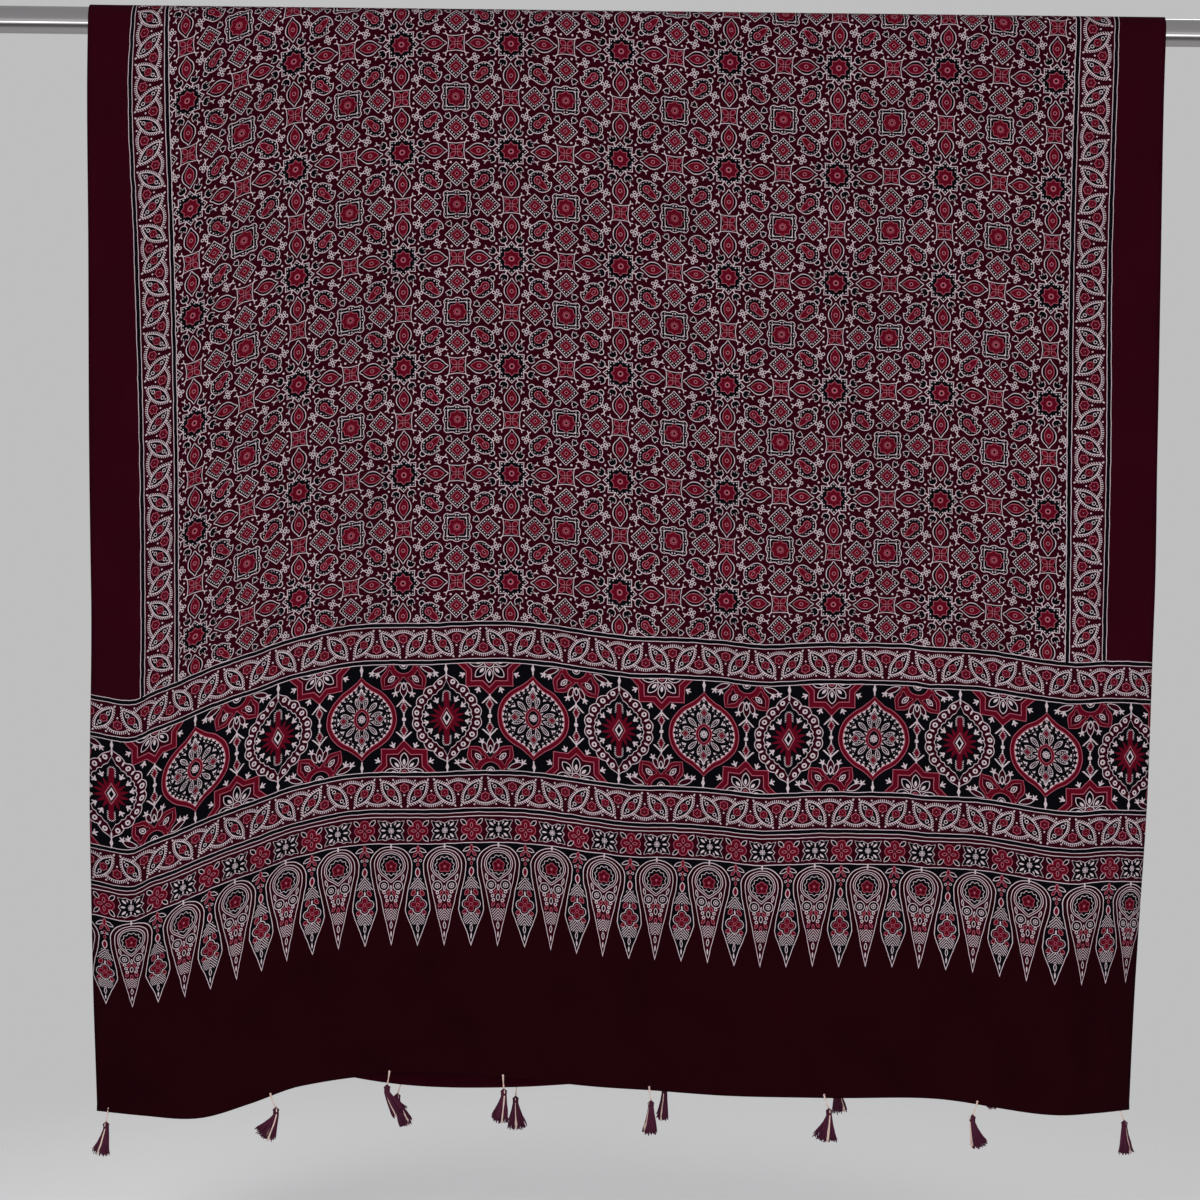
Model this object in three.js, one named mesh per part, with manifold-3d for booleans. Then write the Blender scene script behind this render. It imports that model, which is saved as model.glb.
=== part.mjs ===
// Printed dupatta with tassels, hung in half over a round rail.
// Millimetres, +Z up. The rail runs along X through the origin, the front panel hangs on the -Y side.
import * as THREE from 'three';
import { mergeVertices } from 'three/addons/utils/BufferGeometryUtils.js';
import Module from 'manifold-3d';

const wasm = await Module();
wasm.setup();

// The rail
const RAIL_DIAMETER = 28;
const RAIL_LENGTH = 1300;
const RAIL_CHAMFER = 1;
const RAIL_SIDES = 40;

// The cloth before it is hung, and its woven edge at both ends
const CLOTH_WIDTH = 1110;
const CLOTH_LENGTH = 2217;
const CLOTH_THICKNESS = 1.6;
const HEM_THICKNESS = 2.4;
const HEM_WIDTH = 7;

// Mesh steps of the cloth: rows down each panel, rows over the rail, columns across
const PANEL_ROWS = 22;
const RAIL_ROWS = 12;
const COLUMNS_ACROSS = 28;

// Clear distance between pieces that touch, and the cloth's own radius over the rail
const CLEARANCE = 0.3;
const BEND_RADIUS = RAIL_DIAMETER / 2 + CLEARANCE + CLOTH_THICKNESS / 2 + 0.4;
const TOP_LINE = BEND_RADIUS + CLOTH_THICKNESS / 2;

// How unevenly the cloth hangs, left to right.
// across: place on the flat cloth; hemDrop: front hem below the top line;
// tuck: length that the lower front part loses in small tucks, or gains where it is stretched
const HANG = [
  { across: -555, hemDrop: 1135, tuck: 38 },
  { across: -504, hemDrop: 1137, tuck: 33 },
  { across: -444, hemDrop: 1138, tuck: 15 },
  { across: -390, hemDrop: 1124, tuck: 7 },
  { across: -333, hemDrop: 1106, tuck: 6 },
  { across: -222, hemDrop: 1092, tuck: 1.5 },
  { across: -111, hemDrop: 1094, tuck: -3 },
  { across: 0, hemDrop: 1104, tuck: -6.5 },
  { across: 111, hemDrop: 1110, tuck: -2.5 },
  { across: 222, hemDrop: 1110, tuck: 2 },
  { across: 333, hemDrop: 1111, tuck: 2 },
  { across: 444, hemDrop: 1124, tuck: -1 },
  { across: 555, hemDrop: 1123, tuck: 1 },
];

// How the cloth draws in sideways on its way down.
// drop: distance below the top line; then where each line of the flat cloth hangs
const FLAT_LINES = [-555, -504, -444, -222, 0, 222, 444, 504, 555];
const DRAW_IN = [
  { drop: 0, lines: [-550, -504, -450, -229.5, -3.5, 219.5, 442, 504, 552] },
  { drop: 95, lines: [-550, -507, -447, -228, -4.5, 218, 440, 502, 550] },
  { drop: 250, lines: [-547, -499, -441, -224.5, -2.5, 218, 438, 499, 549] },
  { drop: 450, lines: [-544, -491, -435, -221.5, -0.5, 217.5, 437, 500, 548] },
  { drop: 625, lines: [-540, -487, -432, -220.5, 0.5, 218.5, 438, 498, 547] },
  { drop: 990, lines: [-530, -480, -423, -217, -1.5, 214, 432, 490, 529] },
  { drop: 1130, lines: [-524, -475, -419, -215, -1.5, 213, 430, 487, 524] },
];

// Soft folds. side: panel; top and hem: where the fold line starts and ends across;
// starts: drop at which it opens; reach: half width; height: towards the viewer of that panel
const FOLDS = [
  { side: 'front', top: -420, hem: -465, starts: 250, reach: 60, height: 8 },
  { side: 'front', top: -330, hem: -270, starts: 350, reach: 85, height: -7 },
  { side: 'front', top: -70, hem: -130, starts: 200, reach: 100, height: 9 },
  { side: 'front', top: 80, hem: 45, starts: 550, reach: 55, height: -7 },
  { side: 'front', top: 200, hem: 235, starts: 250, reach: 90, height: 8 },
  { side: 'front', top: 390, hem: 350, starts: 450, reach: 60, height: -6 },
  { side: 'front', top: 470, hem: 462, starts: 600, reach: 32, height: 9 },
  { side: 'back', top: -440, hem: -400, starts: 300, reach: 75, height: 9 },
  { side: 'back', top: -240, hem: -290, starts: 250, reach: 80, height: -7 },
  { side: 'back', top: -60, hem: -20, starts: 350, reach: 95, height: 10 },
  { side: 'back', top: 130, hem: 160, starts: 300, reach: 70, height: -6 },
  { side: 'back', top: 330, hem: 300, starts: 200, reach: 80, height: 9 },
  { side: 'back', top: 470, hem: 430, starts: 450, reach: 45, height: -5 },
];

// How far the two long edges turn backwards at the hem, and the width that turns
const EDGE_TURN = { left: 12, right: 20 };
const EDGE_TURN_WIDTH = 90;

// Tassels. side: panel; across: place along the hem; swing: sideways drift of the hanging thread;
// lean: sideways drift of the skirt; spread: half width of the skirt at its tips
const TASSELS = [
  { side: 'front', across: -548, swing: -2, lean: -5, spread: 9 },
  { side: 'front', across: -369, swing: 6, lean: -11, spread: 11 },
  { side: 'front', across: -237, swing: -2, lean: 13, spread: 8 },
  { side: 'front', across: -115, swing: 1, lean: -4, spread: 9 },
  { side: 'front', across: 39, swing: 2, lean: -1, spread: 8 },
  { side: 'front', across: 223, swing: 5, lean: -4, spread: 13 },
  { side: 'front', across: 384, swing: -5, lean: 7, spread: 9 },
  { side: 'front', across: 548, swing: 5, lean: 2, spread: 8 },
  { side: 'back', across: -548, swing: 2, lean: 3, spread: 8 },
  { side: 'back', across: -372, swing: -2, lean: -4, spread: 9 },
  { side: 'back', across: -226, swing: -4, lean: 9, spread: 7 },
  { side: 'back', across: -102, swing: -1, lean: 2, spread: 11 },
  { side: 'back', across: 55, swing: 1, lean: -2, spread: 6 },
  { side: 'back', across: 238, swing: 2, lean: 3, spread: 8 },
  { side: 'back', across: 401, swing: 1, lean: 2, spread: 7 },
  { side: 'back', across: 546, swing: 4, lean: 6, spread: 6 },
];
const STITCH_ABOVE_HEM = 3;
const THREAD_DIAMETER = 1.2;
const THREAD_DROP = 13;
const THREAD_LEAN_OUT = 1.5;
const TASSEL_HEAD = { width: 7, height: 9, sides: 8 };
const SKIRT_LENGTH = 26;
const STRANDS_PER_TASSEL = 10;
const STRAND_DIAMETER = 2;

// The cloth's place at a column, between the rows of a table
function smoothBetween(table, key, value, at) {
  const last = table.length - 2;
  let row = 0;
  while (row < last && at > table[row + 1][key]) row += 1;
  const slope = (i) => {
    const before = table[Math.max(i - 1, 0)];
    const after = table[Math.min(i + 1, table.length - 1)];
    return (value(after) - value(before)) / (after[key] - before[key]);
  };
  const from = table[row];
  const to = table[row + 1];
  const step = to[key] - from[key];
  const t = THREE.MathUtils.clamp((at - from[key]) / step, 0, 1);
  const eased = t * t * (3 - 2 * t);
  return value(from) * (1 - eased) + value(to) * eased
    + slope(row) * step * t * (1 - t) * (1 - t) - slope(row + 1) * step * t * t * (1 - t);
}

function hemDropAt(across) {
  return smoothBetween(HANG, 'across', (row) => row.hemDrop, across);
}

// Cloth length from the front hem up to the rail's axis level
function frontLengthAt(across) {
  const tuck = smoothBetween(HANG, 'across', (row) => row.tuck, across);
  return hemDropAt(across) - TOP_LINE + tuck;
}

// What is left of the cloth's length hangs behind
function backLengthAt(across) {
  return CLOTH_LENGTH - frontLengthAt(across) - Math.PI * BEND_RADIUS;
}

// Sideways place of a line of the cloth at a distance below the top line
function sidewaysAt(across, drop) {
  const lineNow = FLAT_LINES.map((flat, i) => ({
    flat,
    now: smoothBetween(DRAW_IN, 'drop', (row) => row.lines[i], drop),
  }));
  return smoothBetween(lineNow, 'flat', (line) => line.now, across);
}

// Distance of a panel in front of its plain hanging line
function foldHeightAt(side, across, drop) {
  let height = 0;
  for (const fold of FOLDS) {
    if (fold.side !== side) continue;
    const down = THREE.MathUtils.clamp((drop - fold.starts) / (1130 - fold.starts), 0, 1);
    const line = THREE.MathUtils.lerp(fold.top, fold.hem, drop / 1130);
    const away = (across - line) / fold.reach;
    height += fold.height * down * (2 - down) * Math.exp(-away * away);
  }
  return height;
}

function edgeTurnAt(across, drop) {
  const turn = across < 0 ? EDGE_TURN.left : EDGE_TURN.right;
  const fromEdge = CLOTH_WIDTH / 2 - Math.abs(across);
  const near = THREE.MathUtils.clamp(1 - fromEdge / EDGE_TURN_WIDTH, 0, 1);
  const down = THREE.MathUtils.smoothstep(drop, 300, 1130);
  return turn * near * near * down;
}

// Middle of the cloth's thickness at a column and a way along its hang:
// 0 is the front hem, 1 and 2 are where it meets and leaves the rail, 3 is the back hem
function clothPoint(across, way) {
  if (way > 1 && way < 2) {
    const angle = (way - 1) * Math.PI;
    const z = Math.sin(angle) * BEND_RADIUS;
    return new THREE.Vector3(sidewaysAt(across, TOP_LINE - z), -Math.cos(angle) * BEND_RADIUS, z);
  }
  const front = way <= 1;
  const side = front ? 'front' : 'back';
  const hem = front ? TOP_LINE - hemDropAt(across) : -backLengthAt(across);
  const z = hem * (front ? 1 - way : way - 2);
  const drop = TOP_LINE - z;
  const outwards = BEND_RADIUS + foldHeightAt(side, across, drop);
  const y = (front ? -outwards : outwards) + edgeTurnAt(across, drop);
  return new THREE.Vector3(sidewaysAt(across, drop), y, z);
}

// Direction that the printed face looks in
function clothNormal(across, way) {
  const small = 0.02;
  const limit = CLOTH_WIDTH / 2;
  const left = clothPoint(Math.max(across - 4, -limit), way);
  const right = clothPoint(Math.min(across + 4, limit), way);
  const before = clothPoint(across, Math.max(way - small, 0));
  const after = clothPoint(across, Math.min(way + small, 3));
  return right.sub(left).cross(after.sub(before)).normalize();
}

// A place on the printed face of the faceted cloth, between its two nearest columns
function facePoint(across, way, above) {
  const pitch = CLOTH_WIDTH / COLUMNS_ACROSS;
  const left = Math.floor((across + CLOTH_WIDTH / 2) / pitch) * pitch - CLOTH_WIDTH / 2;
  const [from, to] = [left, left + pitch].map((column) => (
    clothPoint(column, way).addScaledVector(clothNormal(column, way), above)
  ));
  return from.lerp(to, (across - left) / pitch);
}

// Way along the hang of each mesh row, with a narrow row at both hems
function wayOfRow(row) {
  const hemWay = HEM_WIDTH / 1110;
  const rows = 2 * PANEL_ROWS + RAIL_ROWS;
  const middle = rows / 2;
  if (row > middle) return 3 - wayOfRow(rows - row);
  if (row === 0) return 0;
  if (row < PANEL_ROWS) return hemWay + (1 - hemWay) * (row - 1) / (PANEL_ROWS - 1);
  return 1 + (row - PANEL_ROWS) / RAIL_ROWS;
}

function makeCloth() {
  const rows = 2 * PANEL_ROWS + RAIL_ROWS;
  const sheet = new THREE.BoxGeometry(CLOTH_WIDTH, rows, 2, COLUMNS_ACROSS, rows, 1);
  const points = sheet.attributes.position;
  for (let i = 0; i < points.count; i += 1) {
    const across = points.getX(i);
    const row = Math.round(points.getY(i) + rows / 2);
    const outside = points.getZ(i);
    const atHem = row < 2 || row > rows - 2;
    const thickness = atHem ? HEM_THICKNESS : CLOTH_THICKNESS;
    const way = wayOfRow(row);
    const place = clothPoint(across, way);
    place.addScaledVector(clothNormal(across, way), outside * thickness / 2);
    points.setXYZ(i, place.x, place.y, place.z);
  }
  return sheet;
}

function makeRail() {
  const radius = RAIL_DIAMETER / 2;
  const half = RAIL_LENGTH / 2;
  const profile = [
    new THREE.Vector2(0, -half),
    new THREE.Vector2(radius - RAIL_CHAMFER, -half),
    new THREE.Vector2(radius, -half + RAIL_CHAMFER),
    new THREE.Vector2(radius, half - RAIL_CHAMFER),
    new THREE.Vector2(radius - RAIL_CHAMFER, half),
    new THREE.Vector2(0, half),
  ];
  return new THREE.LatheGeometry(profile, RAIL_SIDES).rotateZ(-Math.PI / 2);
}

function asSolid(geometry) {
  geometry.deleteAttribute('normal');
  geometry.deleteAttribute('uv');
  const merged = mergeVertices(geometry, 1e-4);
  return new wasm.Manifold(new wasm.Mesh({
    numProp: 3,
    vertProperties: new Float32Array(merged.attributes.position.array),
    triVerts: new Uint32Array(merged.index.array),
  }));
}

function asGeometry(solid) {
  const mesh = solid.getMesh();
  const geometry = new THREE.BufferGeometry();
  geometry.setAttribute('position', new THREE.BufferAttribute(mesh.vertProperties, 3));
  geometry.setIndex(new THREE.BufferAttribute(mesh.triVerts, 1));
  geometry.computeVertexNormals();
  return geometry;
}

// A yarn of a few flat sides along a bent line
function makeYarn(points, diameter, sides, steps) {
  const section = new THREE.Shape();
  for (let i = 0; i < sides; i += 1) {
    const angle = (i / sides) * Math.PI * 2;
    const x = Math.cos(angle) * diameter / 2;
    const y = Math.sin(angle) * diameter / 2;
    if (i === 0) section.moveTo(x, y);
    else section.lineTo(x, y);
  }
  section.closePath();
  const extrudePath = new THREE.QuadraticBezierCurve3(...points);
  return new THREE.ExtrudeGeometry(section, { steps, extrudePath, bevelEnabled: false });
}

// Bound head, its top on the origin
function makeTasselHead() {
  const { width, height, sides } = TASSEL_HEAD;
  const radius = width / 2;
  const profile = [
    new THREE.Vector2(0, -height),
    new THREE.Vector2(radius * 0.8, -height),
    new THREE.Vector2(radius * 0.72, -height * 0.72),
    new THREE.Vector2(radius, -height * 0.4),
    new THREE.Vector2(radius * 0.75, -height * 0.12),
    new THREE.Vector2(0, 0),
  ];
  return new THREE.LatheGeometry(profile, sides).rotateX(Math.PI / 2);
}

// Skirt strands fan out from inside the head, the outer ones longest at the middle
function makeStrand(index, tassel) {
  const angle = index * 2.4;
  const ring = Math.sqrt((index + 0.5) / STRANDS_PER_TASSEL);
  const sideways = Math.cos(angle) * ring;
  const depth = Math.sin(angle) * ring;
  const rootWidth = TASSEL_HEAD.width * 0.3;
  const length = SKIRT_LENGTH * (1 - 0.12 * ring * ring - 0.06 * Math.sin(index * 1.7));
  const root = new THREE.Vector3(sideways * rootWidth, depth * rootWidth, -TASSEL_HEAD.height + 2);
  const tip = new THREE.Vector3(
    tassel.lean + sideways * tassel.spread,
    depth * (2 + tassel.spread * 0.35),
    -TASSEL_HEAD.height - length,
  );
  const bend = root.clone().lerp(tip, 0.5);
  bend.x -= tassel.lean * 0.15;
  bend.z -= 2;
  return makeYarn([root, bend, tip], STRAND_DIAMETER, 3, 2);
}

// The tassel hangs from a stitch just above the hem, clear of the printed face
function makeTassel(tassel) {
  const front = tassel.side === 'front';
  const panelLength = front ? hemDropAt(tassel.across) - TOP_LINE : backLengthAt(tassel.across);
  const stitchWay = STITCH_ABOVE_HEM / panelLength;
  const way = front ? stitchWay : 3 - stitchWay;
  const stitch = facePoint(tassel.across, way, HEM_THICKNESS / 2 + CLEARANCE + THREAD_DIAMETER / 2);
  const leanOut = front ? -THREAD_LEAN_OUT : THREAD_LEAN_OUT;
  const headTop = stitch.clone().add(new THREE.Vector3(tassel.swing, leanOut, -THREAD_DROP));
  const threadEnd = headTop.clone().add(new THREE.Vector3(0, 0, -2));
  const threadBend = new THREE.Vector3(stitch.x, stitch.y, (stitch.z + headTop.z) / 2);
  let solid = asSolid(makeYarn([stitch, threadBend, threadEnd], THREAD_DIAMETER, 4, 3));
  const place = headTop.toArray();
  solid = solid.add(asSolid(makeTasselHead().translate(...place)));
  for (let i = 0; i < STRANDS_PER_TASSEL; i += 1) {
    solid = solid.add(asSolid(makeStrand(i, tassel).translate(...place)));
  }
  return asGeometry(solid);
}

function addPiece(group, name, geometry, material) {
  const mesh = new THREE.Mesh(geometry, material);
  mesh.name = name;
  group.add(mesh);
}

const printedCloth = new THREE.MeshStandardMaterial({ color: 0x2a0712, roughness: 0.85, metalness: 0 });
const polishedSteel = new THREE.MeshStandardMaterial({ color: 0xb4b6b8, roughness: 0.2, metalness: 1 });
const tasselYarn = new THREE.MeshStandardMaterial({ color: 0x3a1426, roughness: 0.8, metalness: 0 });

const group = new THREE.Group();
addPiece(group, 'rod', makeRail(), polishedSteel);
addPiece(group, 'cloth', makeCloth(), printedCloth);
const counts = { front: 0, back: 0 };
for (const tassel of TASSELS) {
  counts[tassel.side] += 1;
  addPiece(group, `tassel_${tassel.side}_${counts[tassel.side]}`, makeTassel(tassel), tasselYarn);
}

export default group;
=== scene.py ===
# Block-printed ajrakh cloth with yarn tassels, hung in half over a round rod.
# Blender objects are in metres. The cloth, its print and its tassels are sized in millimetres here.
from math import atan2, cos, pi, radians, sin
import bpy
import numpy as np
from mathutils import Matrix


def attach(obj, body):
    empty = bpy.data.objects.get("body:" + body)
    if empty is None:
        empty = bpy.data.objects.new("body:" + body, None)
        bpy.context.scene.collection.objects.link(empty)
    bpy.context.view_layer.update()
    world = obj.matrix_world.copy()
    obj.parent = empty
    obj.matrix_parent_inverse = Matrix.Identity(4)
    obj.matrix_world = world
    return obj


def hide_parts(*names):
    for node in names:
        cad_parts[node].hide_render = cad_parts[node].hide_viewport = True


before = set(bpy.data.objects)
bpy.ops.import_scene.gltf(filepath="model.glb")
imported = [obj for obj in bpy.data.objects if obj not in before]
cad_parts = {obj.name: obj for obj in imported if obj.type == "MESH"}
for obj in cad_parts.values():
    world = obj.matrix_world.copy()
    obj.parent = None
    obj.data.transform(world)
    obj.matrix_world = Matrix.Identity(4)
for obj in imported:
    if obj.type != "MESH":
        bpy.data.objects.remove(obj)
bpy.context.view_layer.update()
MM = 0.001

# The rod and the cloth before it is hung
ROD_DIAMETER = 28
CLOTH_WIDTH = 1110
CLOTH_LENGTH = 2217
BEND_RADIUS = 15.5
TOP_LINE = 16.3
SHEET_THICKNESS = 1.2
HEM_THICKNESS = 2.2
HEM_WIDTH = 7

# How unevenly the cloth hangs, left to right: place on the flat cloth, front hem below the top line,
# length that the lower front part loses in small tucks, or gains where it is stretched
HANG = np.array([
    (-555, 1135, 38), (-504, 1137, 33), (-444, 1138, 15), (-390, 1124, 7),
    (-333, 1106, 6), (-222, 1092, 1.5), (-111, 1094, -3), (0, 1104, -6.5),
    (111, 1110, -2.5), (222, 1110, 2), (333, 1111, 2), (444, 1124, -1), (555, 1123, 1),
], dtype=float)

# The tucks at the end border lie a little differently from those of the field above it
BORDER_TUCKS = np.array([
    (-555, 36), (-514, 40), (-491, 29), (-467, 19), (-444, 10), (-422, 5.5), (-390, 4), (-333, 3),
    (-289, 0.3), (-256, 0.7), (-223, 2.5), (-190, 2.7), (-157, 0), (-114, -2.7), (-70, -2.8),
    (-26, -1.2), (17, 0), (60, -2), (105, -1.8), (150, 1.6), (215, -1), (302, 0.2), (324, 2),
    (389, -1.6), (433, -0.5), (476, 2), (505, 0.5), (555, 3),
], dtype=float)
BORDER_STARTS = 238.5
BORDER_ENDS = 464
FIELD_STARTS = 545

# How the cloth draws in sideways: distance below the top line, then where each flat line hangs
FLAT_LINES = [-555, -504, -444, -222, 0, 222, 444, 504, 555]
DRAW_IN = np.array([
    (0, -550, -504, -450, -229.5, -3.5, 219.5, 442, 504, 552),
    (95, -550, -507, -447, -228, -4.5, 218, 440, 502, 550),
    (250, -547, -499, -441, -224.5, -2.5, 218, 438, 499, 549),
    (450, -544, -491, -435, -221.5, -0.5, 217.5, 437, 500, 548),
    (625, -540, -487, -432, -220.5, 0.5, 218.5, 438, 498, 547),
    (990, -530, -480, -423, -217, -1.5, 214, 432, 490, 529),
    (1130, -524, -475, -419, -215, -1.5, 213, 430, 487, 524),
], dtype=float)
LONGEST_DROP = 1130

# The lower front part hangs a little aside of that: place on the flat cloth, then how far
ASIDE = np.array([
    (-555, -5.5), (-480, -3), (-410, -2), (-333, -2), (-256, 1), (-180, 3.3), (-103, 4), (-26, 2.5),
    (50, 1.8), (127, 1.8), (203, 0.7), (280, 0.3), (356, 2), (433, 2), (510, 4), (555, 5.5),
], dtype=float)
ASIDE_STARTS = 600
ASIDE_FULL = 850

# Soft folds: where the fold line is at the top and at the hem, the drop at which it opens,
# its half width, and its height towards the viewer of that panel
FRONT_FOLDS = [
    (-420, -465, 250, 60, 8), (-330, -270, 350, 85, -7), (-70, -130, 200, 100, 9),
    (80, 45, 550, 55, -7), (200, 235, 250, 90, 8), (390, 350, 450, 60, -6), (470, 462, 600, 32, 9),
]
BACK_FOLDS = [
    (-440, -400, 300, 75, 9), (-240, -290, 250, 80, -7), (-60, -20, 350, 95, 10),
    (130, 160, 300, 70, -6), (330, 300, 200, 80, 9), (470, 430, 450, 45, -5),
]
EDGE_TURN = {"left": 12, "right": 20}
EDGE_TURN_WIDTH = 90
EDGE_TURN_STARTS = 300

# Creases: from (across, along) to (across, along) on the flat cloth, half width, height
CREASES = [
    ((70, 20), (20, 120), 16, 1.8),
    ((40, 10), (-20, 150), 14, -1.5),
    ((105, 50), (70, 135), 12, -1.4),
    ((-470, 30), (-330, 62), 20, 2.6),
    ((-500, 75), (-400, 100), 24, -2.2),
    ((-292, 12), (-195, 32), 9, -1.6),
    ((470, 20), (475, 240), 12, 2.0),
    ((500, 20), (500, 200), 11, -1.6),
]

# The print, in mm of flat cloth: repeats, and bands measured from each hem
REPEAT = 111
HALF_REPEAT = REPEAT / 2
QUARTER_REPEAT = REPEAT / 4
ROW_PITCH = 109.9
FIRST_STAR_ROW = 504
SIDE_VINE_MIDDLE = 483.5
LOWER_VINE_MIDDLE = 290.3
UPPER_VINE_MIDDLE = 442.5
GAP_MIDDLE = 18.9
FIELD_EDGE = SIDE_VINE_MIDDLE - GAP_MIDDLE
STRIP_EDGE = SIDE_VINE_MIDDLE + GAP_MIDDLE
PLAIN_END = 130
POINTS_TOP = 238.5
TILES_TOP = LOWER_VINE_MIDDLE - GAP_MIDDLE
LOWER_VINE_TOP = LOWER_VINE_MIDDLE + GAP_MIDDLE
MEDALLIONS_TOP = UPPER_VINE_MIDDLE - GAP_MIDDLE
UPPER_VINE_TOP = UPPER_VINE_MIDDLE + GAP_MIDDLE
MEDALLION_PITCH = REPEAT * 0.8
MEDALLION_MIDDLE = 0.2

# Mesh steps of the cloth
ACROSS_STEP = 7.8
ALONG_STEP = 8.0
BEND_STEP = 3.2
BEND_FROM = 1070
BEND_TO = 1210

# Tassels, left to right: panel, place on the flat cloth, swing of the head from its stitch, lean of
# the skirt, its spread, and where its cream strands lie, from -1 at the left to 1 at the right
TASSELS = [
    ("front", -548, -2, -5, 9, -0.3), ("front", -369, 6, -11, 11, 0.25), ("front", -237, -2, 13, 8, -0.4),
    ("front", -115, 1, -4, 9, 0.3), ("front", 39, 2, -1, 8, -0.7), ("front", 223, 5, -4, 13, 0.2),
    ("front", 384, -5, 7, 9, -0.85), ("front", 548, 5, 2, 8, 0.5),
    ("back", -548, 2, 3, 8, 0.2), ("back", -372, -2, -4, 9, -0.1), ("back", -226, -4, 9, 7, 0.4),
    ("back", -102, -1, 2, 11, -0.1), ("back", 55, 1, -2, 6, -0.3), ("back", 238, 2, 3, 8, 0.6),
    ("back", 401, 1, 2, 7, 0.0), ("back", 546, 4, 6, 6, -0.5),
]
STITCH_ABOVE_HEM = 3
THREAD_RADIUS = 0.5
THREAD_DROP = 13
THREAD_LEAN_OUT = 1.5
NECK_RADIUS = 2.6
SKIRT_LENGTH = 26
YARNS = 84
YARN_RADIUS = 0.6
YARN_SIDES = 5
GOLDEN_ANGLE = 2.39996

# The photo: 1200 px square, its middle and its scale at the front panel
PHOTO_MIDDLE = (-20.0, -589.0)
PHOTO_WIDTH = 1226
CAMERA_DISTANCE = 3000
ROD_SLOPE = 0.665


# Smooth curve through the rows of a table, at many places at once
def smooth_between(keys, values, at):
    rows = np.arange(len(keys))
    before = np.maximum(rows - 1, 0)
    after = np.minimum(rows + 1, len(keys) - 1)
    spans = (keys[after] - keys[before]).reshape([-1] + [1] * (values.ndim - 1))
    slopes = (values[after] - values[before]) / spans
    row = np.searchsorted(keys[1:-1], at)
    place = (row,) if values.ndim == 1 else (row, np.arange(len(at)))
    next_place = (row + 1,) + place[1:]
    step = keys[row + 1] - keys[row]
    t = np.clip((at - keys[row]) / step, 0, 1)
    eased = t * t * (3 - 2 * t)
    run_in = slopes[place] * step * t * (1 - t) ** 2
    run_out = slopes[next_place] * step * t * t * (1 - t)
    return values[place] * (1 - eased) + values[next_place] * eased + run_in - run_out


def smooth_step(value, start, end):
    t = np.clip((value - start) / (end - start), 0, 1)
    return t * t * (3 - 2 * t)


def hem_drop_at(across):
    return smooth_between(HANG[:, 0], HANG[:, 1], across)


def tuck_at(across):
    return smooth_between(HANG[:, 0], HANG[:, 2], across)


# Length lost in tucks below a place of the front part
def tuck_below(across, along):
    border = smooth_between(BORDER_TUCKS[:, 0], BORDER_TUCKS[:, 1], across)
    field = tuck_at(across) - border
    in_border = smooth_step(along, 0, BORDER_STARTS)
    return border * in_border + field * smooth_step(along, BORDER_ENDS, FIELD_STARTS)


# Cloth length from the front hem up to the level of the rod's axis
def front_length_at(across):
    return hem_drop_at(across) - TOP_LINE + tuck_at(across)


def sideways_at(across, drop):
    columns = DRAW_IN[:, 1:].T
    lines = np.array([smooth_between(DRAW_IN[:, 0], column, drop) for column in columns])
    return smooth_between(np.array(FLAT_LINES, dtype=float), lines, across)


def aside_at(across, drop):
    return smooth_between(ASIDE[:, 0], ASIDE[:, 1], across) * smooth_step(drop, ASIDE_STARTS, ASIDE_FULL)


def fold_height_at(folds, across, drop):
    height = np.zeros_like(across)
    for top, hem, starts, reach, rise in folds:
        down = np.clip((drop - starts) / (LONGEST_DROP - starts), 0, 1)
        line = top + (hem - top) * drop / LONGEST_DROP
        height += rise * down * (2 - down) * np.exp(-((across - line) / reach) ** 2)
    return height


def edge_turn_at(across, drop):
    turn = np.where(across < 0, EDGE_TURN["left"], EDGE_TURN["right"])
    near = np.clip(1 - (CLOTH_WIDTH / 2 - np.abs(across)) / EDGE_TURN_WIDTH, 0, 1)
    return turn * near * near * smooth_step(drop, EDGE_TURN_STARTS, LONGEST_DROP)


# Height of the creases at places on the flat cloth
def crease_height_at(across, along):
    height = np.zeros_like(across)
    for (a0, m0), (a1, m1), reach, rise in CREASES:
        run = np.hypot(a1 - a0, m1 - m0)
        ahead = ((across - a0) * (a1 - a0) + (along - m0) * (m1 - m0)) / run
        beside = ((along - m0) * (a1 - a0) - (across - a0) * (m1 - m0)) / run
        ends = smooth_step(ahead, -0.25 * run, 0.25 * run) * (1 - smooth_step(ahead, 0.75 * run, 1.25 * run))
        height += rise * ends * np.exp(-(beside / reach) ** 2)
    return height


# Middle of the cloth's thickness, in mm, at places of the flat cloth:
# across from the middle line, along from the front hem
def cloth_place(across, along):
    across, along = np.broadcast_arrays(np.asarray(across, float), np.asarray(along, float))
    shape = across.shape
    across, along = across.ravel(), along.ravel()
    front = front_length_at(across)
    bend = pi * BEND_RADIUS
    angle = np.clip((along - front) / BEND_RADIUS, 0, pi)
    front_z = TOP_LINE - hem_drop_at(across) + along - tuck_below(across, along)
    back_z = front + bend - along
    on_front = along < front
    on_back = along > front + bend
    z = np.where(on_front, front_z, np.where(on_back, back_z, np.sin(angle) * BEND_RADIUS))
    drop = TOP_LINE - z
    proud = fold_height_at(FRONT_FOLDS, across, drop) + crease_height_at(across, along)
    turn = edge_turn_at(across, drop)
    front_y = -BEND_RADIUS - proud + turn
    back_y = BEND_RADIUS + fold_height_at(BACK_FOLDS, across, drop) + turn
    y = np.where(on_front, front_y, np.where(on_back, back_y, -np.cos(angle) * BEND_RADIUS))
    x = sideways_at(across, drop) + np.where(on_front, aside_at(across, drop), 0)
    return np.stack([x, y, z], axis=-1).reshape(shape + (3,))


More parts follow.
